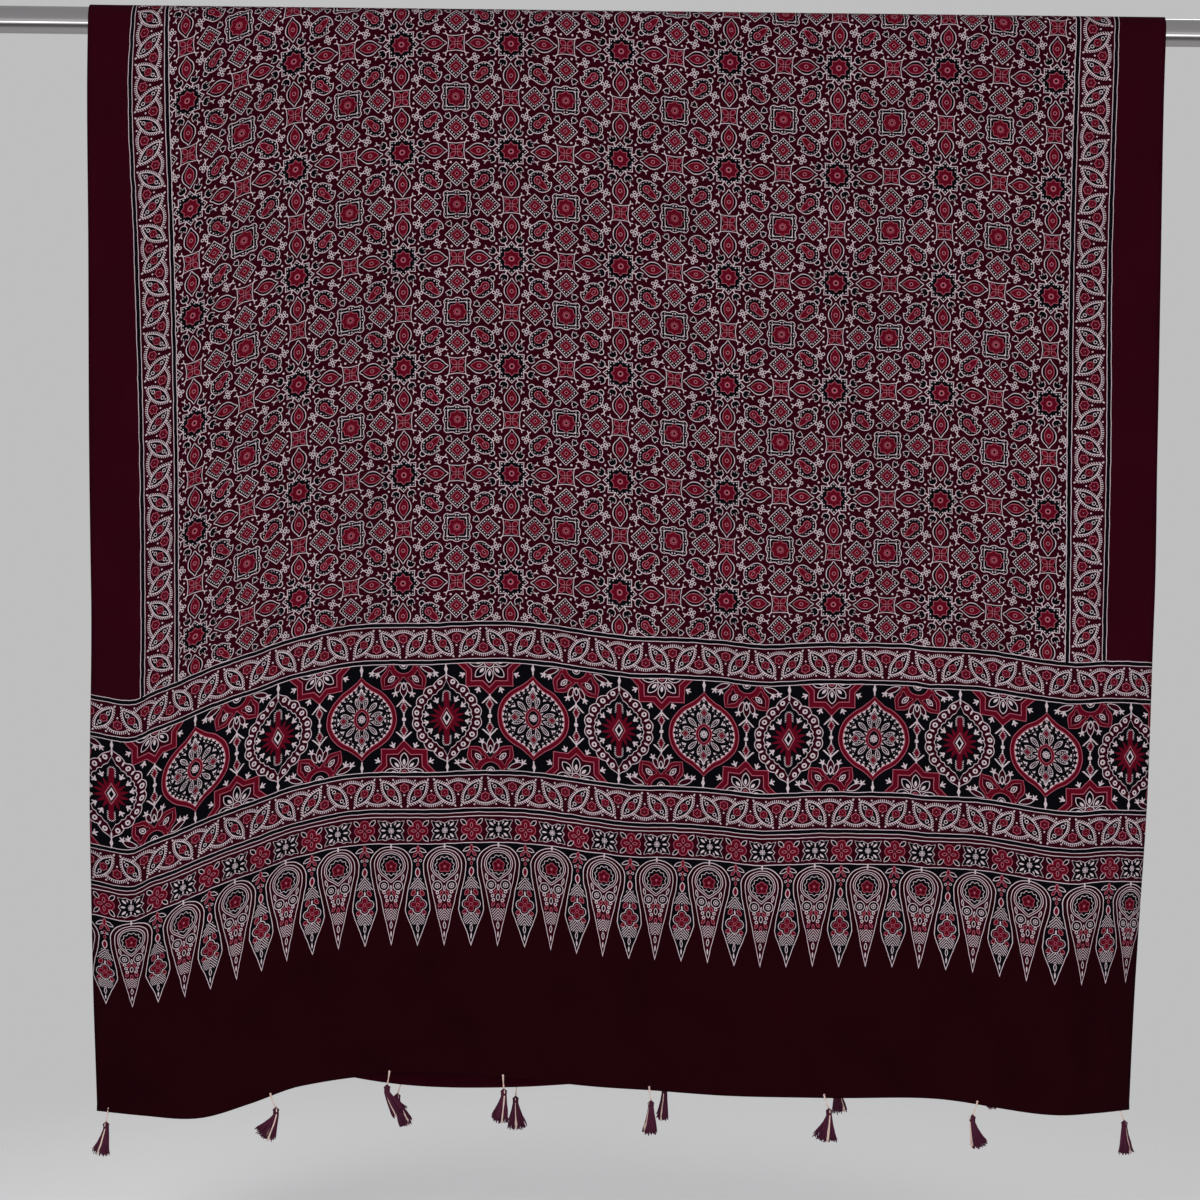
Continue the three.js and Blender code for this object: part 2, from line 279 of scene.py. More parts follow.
# Steps between named borders, so that each printed band has faces of its own
def stepped(borders, steps):
    lines = [np.array([borders[0]], dtype=float)]
    for start, end, step in zip(borders, borders[1:], steps):
        count = max(1, round((end - start) / step))
        lines.append(start + (end - start) * np.arange(1, count + 1) / count)
    return np.concatenate(lines)


def columns_across():
    half = CLOTH_WIDTH / 2
    borders = [-half, -STRIP_EDGE, -FIELD_EDGE, FIELD_EDGE, STRIP_EDGE, half]
    return stepped(borders, [ACROSS_STEP] * 5)


def rows_along():
    bands = [0, HEM_WIDTH, PLAIN_END, TILES_TOP, LOWER_VINE_TOP, MEDALLIONS_TOP, UPPER_VINE_TOP]
    borders = bands + [BEND_FROM, BEND_TO] + [CLOTH_LENGTH - band for band in reversed(bands)]
    steps = [HEM_WIDTH / 2] + [ALONG_STEP] * 6 + [BEND_STEP] + [ALONG_STEP] * 6 + [HEM_WIDTH / 2]
    return stepped(borders, steps)


# Which print a face carries, by the middle of the face on the flat cloth
PRINTS = ["plain", "field", "side_vine", "end_vine", "medallions", "points"]


def print_at(across, along):
    from_hem = np.minimum(along, CLOTH_LENGTH - along)
    aside = np.abs(across)
    field = np.where(aside < FIELD_EDGE, 1, np.where(aside < STRIP_EDGE, 2, 0))
    chosen = np.where(from_hem < UPPER_VINE_TOP, 3, field)
    chosen = np.where(from_hem < MEDALLIONS_TOP, 4, chosen)
    chosen = np.where(from_hem < LOWER_VINE_TOP, 3, chosen)
    chosen = np.where(from_hem < TILES_TOP, 5, chosen)
    return np.where(from_hem < PLAIN_END, 0, chosen)


def surface_normals(places):
    down = np.gradient(places, axis=0)
    side = np.gradient(places, axis=1)
    normals = np.cross(side, down)
    return normals / np.linalg.norm(normals, axis=-1, keepdims=True)


# The cloth as a closed thin sheet with a thicker rolled hem at both ends
def make_cloth(materials):
    across, along = np.meshgrid(columns_across(), rows_along())
    rows, columns = across.shape
    middle = cloth_place(across, along)
    normals = surface_normals(middle)
    from_hem = np.minimum(along, CLOTH_LENGTH - along)
    thickness = np.where(from_hem <= HEM_WIDTH * 0.9, HEM_THICKNESS, SHEET_THICKNESS)
    offset = normals * (thickness / 2)[..., None]
    verts = np.concatenate([(middle + offset).reshape(-1, 3), (middle - offset).reshape(-1, 3)]) * MM
    number = np.arange(rows * columns).reshape(rows, columns)
    corners = [number[:-1, :-1], number[:-1, 1:], number[1:, 1:], number[1:, :-1]]
    quads = np.stack(corners, axis=-1).reshape(-1, 4)
    inner = quads[:, ::-1] + rows * columns
    rim = np.concatenate([number[0, ::-1], number[1:, 0], number[-1, 1:], number[-2:0:-1, -1]])
    rim_next = np.roll(rim, -1)
    edge = np.stack([rim, rim_next, rim_next + rows * columns, rim + rows * columns], axis=-1)
    faces = np.concatenate([quads, inner, edge])

    mesh = bpy.data.meshes.new("cloth_printed")
    mesh.from_pydata(verts.tolist(), [], faces.tolist())
    flat = np.stack([across.ravel(), along.ravel()], axis=-1) * MM
    flat = np.concatenate([flat, flat])
    layer = mesh.uv_layers.new(name="flat_cloth")
    layer.data.foreach_set("uv", flat[faces.ravel()].astype(np.float32).ravel())
    centre = flat[faces].mean(axis=1) / MM
    mesh.polygons.foreach_set("material_index", print_at(centre[:, 0], centre[:, 1]).astype(np.int32))
    for name in PRINTS:
        mesh.materials.append(materials[name])
    mesh.polygons.foreach_set("use_smooth", np.ones(len(faces), dtype=bool))
    mesh.update()
    cloth = bpy.data.objects.new("cloth_printed", mesh)
    bpy.context.collection.objects.link(cloth)
    return cloth


# One length of yarn as a closed tube through the given points, in mm
def yarn(points, radii):
    points = np.asarray(points, dtype=float)
    along = np.gradient(points, axis=0)
    along /= np.linalg.norm(along, axis=1, keepdims=True)
    first = np.cross(along, (0.31, 0.95, 0.05))
    first /= np.linalg.norm(first, axis=1, keepdims=True)
    second = np.cross(along, first)
    turns = np.arange(YARN_SIDES) * 2 * pi / YARN_SIDES
    ring = first[:, None] * np.cos(turns)[None, :, None] + second[:, None] * np.sin(turns)[None, :, None]
    verts = (points[:, None] + ring * np.asarray(radii)[:, None, None]).reshape(-1, 3)
    last = (len(points) - 1) * YARN_SIDES
    faces = []
    for row in range(0, last, YARN_SIDES):
        for side in range(YARN_SIDES):
            here, there = row + side, row + (side + 1) % YARN_SIDES
            faces.append((here, there, there + YARN_SIDES, here + YARN_SIDES))
    return verts, faces + [tuple(range(YARN_SIDES))[::-1], tuple(range(last, last + YARN_SIDES))]


# The path of one strand: over the top of the head, in at the binding, and down the skirt
def strand_path(side, depth, lean, spread, length):
    tip = lean + side * spread
    fall = (length ** 2 - min(abs(tip), 0.8 * length) ** 2) ** 0.5
    head = [(0.8, -0.4), (3.2, -2.4), (2.3, -5.2)]
    path = [(side * reach, depth * reach, level) for reach, level in head]
    for t in (0.0, 0.3, 0.62, 0.85, 1.0):
        out = side * NECK_RADIUS * (1 - t) + tip * t ** 1.2
        path.append((out, depth * (NECK_RADIUS + t * (0.35 * spread - 0.6)), -7.6 - fall * t))
    return np.array(path)


# All lengths of a tassel, each with its path, its radii and 1 where it is cream: the knot on the
# hem, the two plies of the thread, the strands, the binding round the neck, and the core
def tassel_lengths(swing, lean, spread, cream, random):
    lengths = []
    knot = [(-1.0, 0, 0.4), (0, -0.2, 0.9), (0.9, 0, 0.1)]
    lengths.append((knot, [0.5, 0.9, 0.5], 1))
    for turn in (0, pi):
        twist = [(0.45 * cos(turn + 3.2 * t), 0.45 * sin(turn + 3.2 * t)) for t in (0, 0.25, 0.5, 0.75, 1)]
        down = np.linspace(0, 1, 5)
        path = [(swing * t ** 1.3 + x, y, -THREAD_DROP * t - 0.6 * t) for t, (x, y) in zip(down, twist)]
        lengths.append((path, [THREAD_RADIUS] * 5, 1))
    head = np.array((swing, 0, -THREAD_DROP))
    for number in range(YARNS):
        reach = ((number + 0.5) / YARNS) ** 0.5
        side = reach * cos(number * GOLDEN_ANGLE)
        depth = reach * sin(number * GOLDEN_ANGLE)
        length = SKIRT_LENGTH * random.uniform(0.86, 1.06)
        path = strand_path(side, depth, lean, spread, length) + head
        path[4:] += random.normal(0, 0.35, (4, 3)) * np.array([[0.3], [0.6], [0.9], [1.3]])
        radii = np.array([0.6, 0.9, 0.7, 1.1, 1.2, 1.2, 1.1, 0.7]) * YARN_RADIUS * random.uniform(0.9, 1.15)
        lengths.append((path, radii, 1 if abs(side - cream) < 0.11 else 0))
    for level in (-4.6, -5.4, -6.2):
        turns = np.linspace(0, 2 * pi, 13)
        ring = np.stack([np.cos(turns), np.sin(turns), np.zeros(13)], axis=-1) * NECK_RADIUS
        lengths.append((ring + head + (0, 0, level), [0.55] * 13, 0))
    core = [(0, 0, 0.2), (0, 0, -1.4), (0, 0, -3.4), (0, 0, -5.4)]
    lengths.append((np.array(core) + head, [0.8, 2.6, 2.7, 1.8], 0))
    return lengths


# One tassel, hung from its stitch just above the hem
def make_tassel(name, tassel, materials):
    panel, across, swing, lean, spread, cream = tassel
    along = STITCH_ABOVE_HEM if panel == "front" else CLOTH_LENGTH - STITCH_ABOVE_HEM
    out = -1 if panel == "front" else 1
    stitch = cloth_place(across, along) + np.array((0, out * (HEM_THICKNESS / 2 + 0.9), 0))
    if panel == "front":
        stitch[0] -= aside_at(float(across), LONGEST_DROP)
    random = np.random.default_rng(abs(across) + (1000 if out > 0 else 0))
    verts, faces, colours = [], [], []
    for path, radii, colour in tassel_lengths(swing, lean, spread, cream, random):
        path = np.array(path, dtype=float)
        path[:, 1] += out * THREAD_LEAN_OUT * np.clip(-path[:, 2] / THREAD_DROP, 0, 1)
        points, sides = yarn(path + stitch, radii)
        faces += [tuple(corner + len(verts) for corner in side) for side in sides]
        colours += [colour] * len(sides)
        verts += (points * MM).tolist()
    mesh = bpy.data.meshes.new(name)
    mesh.from_pydata(verts, [], faces)
    for material in materials:
        mesh.materials.append(material)
    mesh.polygons.foreach_set("material_index", np.array(colours, dtype=np.int32))
    mesh.polygons.foreach_set("use_smooth", np.ones(len(faces), dtype=bool))
    mesh.update()
    piece = bpy.data.objects.new(name, mesh)
    bpy.context.collection.objects.link(piece)
    return piece


def make_tassels():
    materials = [
        make_yarn_material("yarn_plum", (0.030, 0.005, 0.014), (0.075, 0.016, 0.036)),
        make_yarn_material("yarn_cream", (0.40, 0.28, 0.23), (0.70, 0.54, 0.48)),
    ]
    pieces = []
    for number, tassel in enumerate(TASSELS):
        name = f"tassel_{tassel[0]}_{number % 8 + 1}"
        piece = make_tassel(name + "_yarn", tassel, materials)
        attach(piece, "root")
        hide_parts(name)
        pieces.append(piece)
    return pieces


# The dyes, as linear colours, and a darker ground that is laid only near the front hem
INKS = {
    "maroon": (0.0190, 0.0010, 0.0040),
    "darker_front_ground": (0.0100, 0.0009, 0.0021),
    "black": (0.0018, 0.0018, 0.0028),
    "red": (0.070, 0.0020, 0.0078),
    "pink": (0.255, 0.064, 0.088),
    "cream": (0.400, 0.325, 0.352),
}
# Thin lines come off the block a little lighter than they are drawn
THIN_LINE = 1.5
LINE_WEIGHT = 0.74
# Mm of cloth in one unit of the print's numbers, so that a colour ramp reaches that far
HAND = 25.0


# A length on the flat cloth that a print works out at every place; plain numbers beside it are mm
class Length:
    def __init__(self, ink, socket):
        self.ink = ink
        self.socket = socket

    def __add__(self, other):
        return self.ink.math("ADD", self, other)

    def __sub__(self, other):
        return self.ink.math("SUBTRACT", self, other)

    def __rsub__(self, other):
        return self.ink.math("SUBTRACT", other, self)

    def __mul__(self, factor):
        return self.ink.math("MULTIPLY", self, factor * HAND)

    def __abs__(self):
        return self.ink.math("ABSOLUTE", self)


# Builds one printed material, motif over motif
class Ink:
    def __init__(self, name):
        self.material = bpy.data.materials.new(name)
        self.material.use_nodes = True
        self.tree = self.material.node_tree
        self.tree.nodes.clear()
        self.colour = None

    def node(self, kind, **settings):
        node = self.tree.nodes.new(kind)
        for name, value in settings.items():
            setattr(node, name, value)
        return node

    def feed(self, socket, value):
        if isinstance(value, Length):
            self.tree.links.new(value.socket, socket)
        elif isinstance(value, bpy.types.NodeSocket):
            self.tree.links.new(value, socket)
        elif isinstance(value, tuple):
            socket.default_value = tuple(part / HAND for part in value) + (0.0,) * (3 - len(value))
        else:
            socket.default_value = value / HAND

    def math(self, operation, *values):
        node = self.node("ShaderNodeMath", operation=operation)
        for socket, value in zip(node.inputs, values):
            self.feed(socket, value)
        return Length(self, node.outputs[0])

    def vector(self, operation, *values):
        node = self.node("ShaderNodeVectorMath", operation=operation)
        for socket, value in zip(node.inputs, values):
            self.feed(socket, value)
        return node

    def nearer(self, first, *others):
        for other in others:
            first = self.math("MINIMUM", first, other)
        return first

    def farther(self, first, *others):
        for other in others:
            first = self.math("MAXIMUM", first, other)
        return first

    # Mirrors a length at every multiple of a pitch
    def mirrored(self, length, pitch):
        return self.math("PINGPONG", length, pitch)

    def spot(self, x, y):
        node = self.node("ShaderNodeCombineXYZ")
        self.feed(node.inputs[0], x)
        self.feed(node.inputs[1], y)
        return node.outputs[0]

    def parts(self, spot):
        node = self.node("ShaderNodeSeparateXYZ")
        self.feed(node.inputs[0], spot)
        return Length(self, node.outputs[0]), Length(self, node.outputs[1])

    def moved(self, spot, x, y):
        return self.vector("SUBTRACT", spot, (x, y)).outputs[0]

    # The spot seen from a motif's own middle, turned with the motif
    def turned(self, spot, x, y, degrees, stretch=(1, 1)):
        node = self.node("ShaderNodeMapping", vector_type="TEXTURE")
        self.feed(node.inputs["Vector"], spot)
        node.inputs["Location"].default_value = (x / HAND, y / HAND, 0)
        node.inputs["Rotation"].default_value = (0, 0, radians(degrees))
        node.inputs["Scale"].default_value = (stretch[0], stretch[1], 1)
        return node.outputs[0]

    # A length that starts again at every pitch, from half a pitch below 0 to half a pitch above
    def wrapped(self, length, pitch):
        node = self.node("ShaderNodeMath", operation="WRAP")
        self.feed(node.inputs[0], length)
        node.inputs[1].default_value = pitch / 2 / HAND
        node.inputs[2].default_value = -pitch / 2 / HAND
        return Length(self, node.outputs[0])

    # Small beads in rows over a motif: 1 on each bead, 0 between them
    def beads(self, spot):
        pitch = REPEAT / 40
        lattice = self.vector("SCALE", spot)
        lattice.inputs["Scale"].default_value = HAND / pitch
        cell = self.vector("FRACTION", lattice.outputs[0]).outputs[0]
        middle = self.vector("DISTANCE", cell, (HAND / 2, HAND / 2, HAND * 0))
        return self.math("LESS_THAN", Length(self, middle.outputs[1]), 0.27 * HAND)

    # Both halves of a motif alike, left and right, top and bottom
    def folded(self, spot):
        return self.vector("ABSOLUTE", spot).outputs[0]

    def away(self, spot, x=0, y=0):
        return Length(self, self.vector("DISTANCE", spot, (x, y)).outputs[1])

    # Distance measured along a direction
    def towards(self, spot, x, y):
        node = self.vector("DOT_PRODUCT", spot)
        node.inputs[1].default_value = (x, y, 0)
        return Length(self, node.outputs[1])

    # A curve through pairs of a place and a value, read at every spot
    def curve(self, value, pairs, sharp=False):
        node = self.node("ShaderNodeFloatCurve")
        self.feed(node.inputs["Value"], value)
        mapping = node.mapping
        mapping.use_clip = False
        points = mapping.curves[0].points
        points[0].location = pairs[0]
        points[-1].location = pairs[-1]
        for place in pairs[1:-1]:
            points.new(*place)
        if sharp:
            for point in points:
                point.handle_type = "VECTOR"
        mapping.update()
        return Length(self, node.outputs[0])

    # How far a spot is past an outline that is given by its reach at angles from its axis,
    # plus the given rim; both halves of the outline are alike
    def past_outline(self, spot, reaches, rim, sharp=False):
        x, y = self.parts(spot)
        angle = self.math("ARCTAN2", abs(y), x)
        pairs = [(radians(degrees), (reach - rim) / HAND) for degrees, reach in reaches]
        return self.away(spot) - self.curve(angle, pairs, sharp)

    # The same for an outline that is given by its half width at distances down its axis
    def past_profile(self, beside, down, widths, rim):
        pairs = [(place / HAND, (width - rim) / HAND) for place, width in widths]
        return beside - self.curve(down, pairs, sharp=True)

    # How far a spot is past a pointed leaf shape of the given full length and width, plus the rim
    def past_leaf(self, spot, x, y, degrees, length, width, rim):
        radius = (length ** 2 + width ** 2) / (4 * width)
        leaf = self.folded(self.turned(spot, x, y, degrees))
        return self.away(leaf, 0, width / 2 - radius) - (radius - rim)

    # 1 on each stripe of a pitch, 0 between them
    def stripes(self, length, pitch, width):
        return self.math("LESS_THAN", self.mirrored(length, pitch / 2), width / 2)

    # A little sprig with three prongs, and a little forked foot of a stem
    def sprig(self, spot, x, y, degrees):
        prongs = [(0, 5.0), (24, 1.5), (52, 4.2), (80, 1.2), (180, 1.6)]
        shape = self.past_outline(self.turned(spot, x, y, degrees), prongs, 1, sharp=True)
        self.bands(shape, [(1, "cream")])

    def foot(self, spot, x, y, degrees):
        ahead, aside = self.parts(self.turned(spot, x, y, degrees))
        aside = abs(aside)
        fork = self.farther(abs(ahead - aside * 0.8), aside - 1.5)
        return self.nearer(fork, self.farther(abs(ahead + 1.1) - 1.1, aside))

    # Distance from the middle of a flower, shorter along each of its petals
    def lobed(self, spot, x, y, petals, depth):
        flower = self.moved(spot, x, y)
        across, up = self.parts(flower)
        wave = self.math("COSINE", self.math("ARCTAN2", across, up) * petals)
        return self.away(flower) - self.math("MULTIPLY", wave, depth)

    # The outer one of two lines along a strip, with the black gap inside it
    def outer_line(self, length):
        self.bands(length, [(20.6, "black"), (21.6, "cream")])

    # Where the bands start and end, with the thin light ones made lighter still
    def thinned(self, bands):
        ends = [0.0] + [end for end, colour in bands]
        for number, (end, colour) in enumerate(bands):
            width = end - ends[number]
            if number and colour in ("cream", "pink") and width < THIN_LINE:
                trim = width * (1 - LINE_WEIGHT) / 2
                ends[number] += trim
                ends[number + 1] -= trim
        return ends

    # Colour bands from the middle of a motif outwards: each band ends at a distance in mm.
    # Past the last band, and where the colour is None, what is below shows
    def bands(self, length, bands, where=None):
        node = self.node("ShaderNodeValToRGB")
        ramp = node.color_ramp
        ramp.interpolation = "CONSTANT"
        self.feed(node.inputs["Fac"], length)
        ends = [end / HAND for end in self.thinned(bands)]
        colours = [colour for end, colour in bands] + [None]
        ramp.elements[1].position = 1.0
        ramp.elements[1].color = (0, 0, 0, 0)
        for number, (start, colour) in enumerate(zip(ends, colours)):
            stop = ramp.elements[0] if number == 0 else ramp.elements.new(start)
            stop.color = (0, 0, 0, 0) if colour is None else INKS[colour] + (1,)
        cover = Length(self, node.outputs["Alpha"])
        if where is not None:
            cover = self.math("MULTIPLY", cover, where)
        self.lay(cover, node.outputs["Color"])

    def lay(self, cover, colour):
        mix = self.node("ShaderNodeMix", data_type="RGBA")
        self.feed(mix.inputs[0], cover)
        if isinstance(self.colour, tuple):
            mix.inputs[6].default_value = self.colour + (1,)
        else:
            self.tree.links.new(self.colour, mix.inputs[6])
        if isinstance(colour, tuple):
            mix.inputs[7].default_value = colour + (1,)
        else:
            self.tree.links.new(colour, mix.inputs[7])
        self.colour = mix.outputs[2]

    def dots(self, spot, places, radius, colour="cream"):
        nearest = self.nearer(*[self.away(spot, *place) for place in places])
        self.bands(nearest, [(radius, colour)])

    def noise(self, place, scale, detail, **settings):
        node = self.node("ShaderNodeTexNoise", **settings)
        self.feed(node.inputs["Vector"], place)
        node.inputs["Scale"].default_value = scale
        node.inputs["Detail"].default_value = detail
        return node

    # The finished surface, in one colour pattern and with the fine relief of a noise, in mm
    def surface(self, colour, relief, strength, height):
        bump = self.node("ShaderNodeBump")
        bump.inputs["Strength"].default_value = strength
        bump.inputs["Distance"].default_value = height * MM
        self.tree.links.new(relief.outputs["Fac"], bump.inputs["Height"])
        shader = self.node("ShaderNodeBsdfPrincipled")
        self.tree.links.new(colour, shader.inputs["Base Color"])
        self.tree.links.new(bump.outputs[0], shader.inputs["Normal"])
        output = self.node("ShaderNodeOutputMaterial")
        self.tree.links.new(shader.outputs[0], output.inputs["Surface"])
        return shader


def flat_cloth(ink):
    uv = ink.node("ShaderNodeUVMap", uv_map="flat_cloth")
    scaled = ink.vector("SCALE", uv.outputs[0])
    scaled.inputs["Scale"].default_value = 1 / (MM * HAND)
    return scaled.outputs[0]


# The hand-cut blocks never print quite straight
def printed_spot(ink, flat):
    noise = ink.noise(flat, 1.6, 1.0, noise_dimensions="2D")
    shift = ink.node("ShaderNodeVectorMath", operation="MULTIPLY_ADD")
    ink.tree.links.new(noise.outputs["Color"], shift.inputs[0])
    shift.inputs[1].default_value = (0.05, 0.05, 0)
    ink.tree.links.new(flat, shift.inputs[2])
    return shift.outputs[0]


SIXTEENTH = radians(22.5)


def print_field(ink, across, along):
    column = ink.mirrored(across, HALF_REPEAT)
    row = ink.mirrored((along - FIRST_STAR_ROW) * (REPEAT / ROW_PITCH), HALF_REPEAT)
    cell = ink.spot(column, row)
    beads = ink.beads(cell)
    print_paisley(ink, cell, beads)
    far = ink.farther(column, row)
    near = ink.nearer(column, row)
    spot = ink.spot(far, near)
    print_star(ink, spot)
    print_leaf(ink, spot)
    print_tile(ink, spot, far, near)
    print_diamond(ink, spot, far, near)
    print_medallion(ink, far, near, beads)
    print_sprigs(ink, spot)
    from_hem = ink.nearer(along, CLOTH_LENGTH - along)
    ink.outer_line(ink.nearer(SIDE_VINE_MIDDLE - abs(across), from_hem - UPPER_VINE_MIDDLE))


# The star with its ring of buds
def print_star(ink, spot):
    ahead = ink.towards(spot, cos(SIXTEENTH), sin(SIXTEENTH))
    aside = abs(ink.towards(spot, -sin(SIXTEENTH), cos(SIXTEENTH)))
    ray = ink.spot(ahead, aside)
    ink.bands(ink.towards(ray, 0.899, -0.438), [(11.1, "black"), (12.1, "cream")])
    ink.dots(spot, [(14.5, 0.0), (12.2, 2.4), (10.4, 10.4), (10.3, 7.0), (12.0, 4.9)], 0.65)
    ink.bands(ink.towards(ray, 0.906, -0.423), [(6.1, "red"), (6.9, "pink")])
    ink.bands(ink.away(spot), [(1.4, "black"), (2.9, "pink")])
    bud = ink.moved(ray, 20.3, 0)
    outline = [(0, 6.5), (12, 4.6), (28, 3.2), (50, 5.3), (72, 4.6), (95, 4.3), (135, 3.6), (180, 3.0)]
    stem = ink.farther(abs(ahead - 16.6) - 2.6, aside)
    foot = ink.foot(ray, 28.0, 0, 0)
    ink.bands(ink.nearer(stem, foot), [(0.5, "cream")])
    ink.bands(ink.past_outline(bud, outline, 6), [(5.1, "black"), (6.0, "cream")])


# Red almonds between the stars and the tiles
def print_leaf(ink, spot):
    ahead, aside = ink.parts(spot)
    halves = [(0, 8.2), (2.5, 8.0), (5, 6.9), (7.5, 5.0), (9.3, 3.2), (10.8, 2.1), (12.4, 1.2), (13.4, 0)]
    past = ink.past_profile(aside, abs(ahead - 33.2), halves, 8)
    ink.bands(past, [(3.8, "red"), (4.8, "pink"), (6.8, "black"), (8.0, "cream")])
    ink.bands(ink.away(spot, 33.2, 0), [(1.0, "black"), (2.3, "pink")])


def print_tile(ink, spot, far, near):
    over = HALF_REPEAT - far
    tile = ink.spot(ink.farther(over, near), ink.nearer(over, near))
    ink.bands(ink.towards(tile, 1, -0.1), [(7.1, "black"), (8.1, "cream")])
    ink.bands(ink.away(ink.turned(tile, 3.9, 3.9, 45, (1.4, 1))), [(1.9, "red"), (2.7, "pink")])
    ink.bands(ink.away(tile, 4.6, 0), [(1.1, "red")])
    ink.bands(ink.away(tile), [(0.9, "black"), (1.7, "pink")])
    ink.bands(ink.foot(tile, 10.4, 10.4, 45), [(0.55, "cream")])
    ink.dots(spot, [(49.8, 12.2)], 1.0)


def print_diamond(ink, spot, far, near):
    over = HALF_REPEAT - far
    beside = abs(near - 24.0)
    ink.bands(over + beside, [
        (1.2, "black"), (2.6, "pink"), (5.7, "red"), (6.7, "pink"), (11.4, "black"), (12.7, "cream"),
    ])
    ink.dots(ink.spot(over, beside), [(0, 9.1), (2.0, 7.1), (4.0, 5.1), (6.0, 3.1), (8.0, 1.1)], 0.6)
    bud = ink.turned(spot, 47.4, 35.3, 125.6)
    outline = [(0, 4.3), (22, 3.0), (50, 4.2), (80, 3.0), (120, 2.8), (165, 2.9), (180, 4.4)]
    ink.bands(ink.past_outline(bud, outline, 5), [(4.1, "black"), (5.0, "cream")])


# The lobed black medallion with a red flower
def print_medallion(ink, far, near, beads):
    wide = HALF_REPEAT - near
    narrow = HALF_REPEAT - far
    middle = ink.spot(wide, narrow)
    block = ink.farther(wide - 13.5, narrow - 10.5)
    corner = ink.away(middle, 10.2, 10.2) - 4.0
    side = ink.away(middle, 8.6, 0) - 6.7
    past = ink.nearer(block, corner, side) + 14.0
    ink.bands(past, [(13.0, "black"), (14.0, "cream")])
    ink.bands(past, [(10.1, None), (12.3, "cream")], where=beads)
    ink.bands(ink.farther(wide, narrow + 1.2), [(9.6, "black"), (10.4, "cream")])
    petals = ink.lobed(middle, 0, 0, 8, 0.8)
    ink.bands(petals, [(8.2, "red"), (9.0, "pink"), (9.5, "black")])
    ink.bands(ink.lobed(middle, 0, 0, 8, 0.3), [(1.3, "black"), (2.5, "pink"), (3.1, "red"), (3.7, "pink")])


def print_paisley(ink, cell, beads):
    body = ink.away(cell, 27.1, 28.6) - 9.5
    belly = ink.away(cell, 31.6, 31.2) - 9.9
    notch = 3.0 - ink.away(cell, 39.7, 26.7)
    drop = ink.farther(ink.nearer(body, belly), notch) + 12
    ink.bands(ink.away(cell, 20.0, 20.9), [(2.3, "black"), (3.4, "cream")])
    ink.bands(drop, [(11.0, "black"), (12.0, "cream")])
    ink.bands(drop, [(8.8, None), (10.4, "cream")], where=beads)
    tail = ink.past_leaf(cell, 31.4, 32.6, 44, 15.5, 6.8, 6)
    core = ink.nearer(ink.away(cell, 27.2, 28.6) + 1.6, tail)
    ink.bands(core, [(5.1, "red"), (6.0, "pink")])
    eye = ink.turned(cell, 27.6, 29.4, 50, (2.2, 1))
    ink.bands(ink.away(eye), [(0.7, "black"), (1.5, "pink")])


# Cross flowers and the forked feet of the buds
def print_sprigs(ink, spot):
    flower = ink.folded(ink.turned(spot, 36.1, 15.1, 17))
    petals = ink.nearer(ink.away(flower), ink.away(flower, 2.8, 0), ink.away(flower, 0, 3.4))
    foot = ink.foot(spot, 42.6, 17.1, 17)
    ink.bands(ink.nearer(foot, ink.away(spot, 15.6, 15.6) - 0.4), [(0.6, "cream")])
    ink.bands(petals, [(0.8, "black"), (1.8, "cream")])


# One strip of almonds and flowers; p runs along it, q across it towards the field
def print_vine(ink, p, q):
    side = ink.math("SIGN", q)
    start = ink.spot(ink.mirrored(p, QUARTER_REPEAT) - QUARTER_REPEAT / 2, q)
    turn = ink.node("ShaderNodeVectorMath", operation="SCALE")
    ink.feed(turn.inputs[0], start)
    ink.tree.links.new(side.socket, turn.inputs["Scale"])
    spot = turn.outputs[0]
    leaf_line = ink.turned(spot, 0, 0, 51.6)
    leaf = ink.folded(leaf_line)
    past = ink.away(leaf, 0, -13.35) - 13.7
    length_along, _ = ink.parts(leaf_line)
    arch = ink.moved(spot, -QUARTER_REPEAT / 2, -5.7)
    arch_x, arch_y = ink.parts(arch)
    ring = ink.away(arch)
    above = ink.math("GREATER_THAN", arch_y, 13.0)
    rays = ink.stripes(ink.math("ARCTAN2", arch_x, arch_y), 0.108 * HAND, 0.046 * HAND)
    ink.bands(ring, [(16.7, None), (17.7, "cream")], where=above)
    ink.bands(ring, [(17.6, None), (20.0, "cream")], where=ink.math("MULTIPLY", rays, above))
    flower = ink.lobed(spot, -QUARTER_REPEAT / 2, 5.1, 6, 0.45)
    ink.bands(flower, [(0.6, "pink"), (1.1, "black"), (1.5, "maroon"), (3.7, "red"), (4.5, "pink")])
    ink.bands(past, [(5.8, None), (8.0, "cream")], where=ink.stripes(length_along, 2.05, 0.9))
    ink.bands(past, [(5.0, "black"), (6.0, "cream")])
    flower = ink.lobed(leaf_line, 0, 0, 6, 0.4)
    ink.bands(flower, [(0.5, "pink"), (1.0, "maroon"), (3.3, "red"), (4.0, "pink")])
    ink.bands(ink.away(leaf, 6.6, 0), [(1.1, "black"), (2.0, "cream")])
    ink.dots(leaf, [(10.4, 0)], 0.7)
    ink.dots(spot, [(QUARTER_REPEAT / 2, 2.4), (10.8, 13.8), (-2.6, 12.9)], 0.8)
    ink.bands(abs(q), [(16.3, None), (17.3, "cream"), (21, "black")])


def print_side_vine(ink, across, along):
    p = (along - FIRST_STAR_ROW) * (REPEAT / ROW_PITCH)
    print_vine(ink, p, SIDE_VINE_MIDDLE - abs(across))
    ink.outer_line(ink.nearer(along, CLOTH_LENGTH - along) - UPPER_VINE_MIDDLE)


def print_end_vine(ink, across, along):
    from_hem = ink.nearer(along, CLOTH_LENGTH - along)
    pitch = UPPER_VINE_MIDDLE - LOWER_VINE_MIDDLE
    print_vine(ink, across, ink.wrapped(from_hem - LOWER_VINE_MIDDLE, pitch))


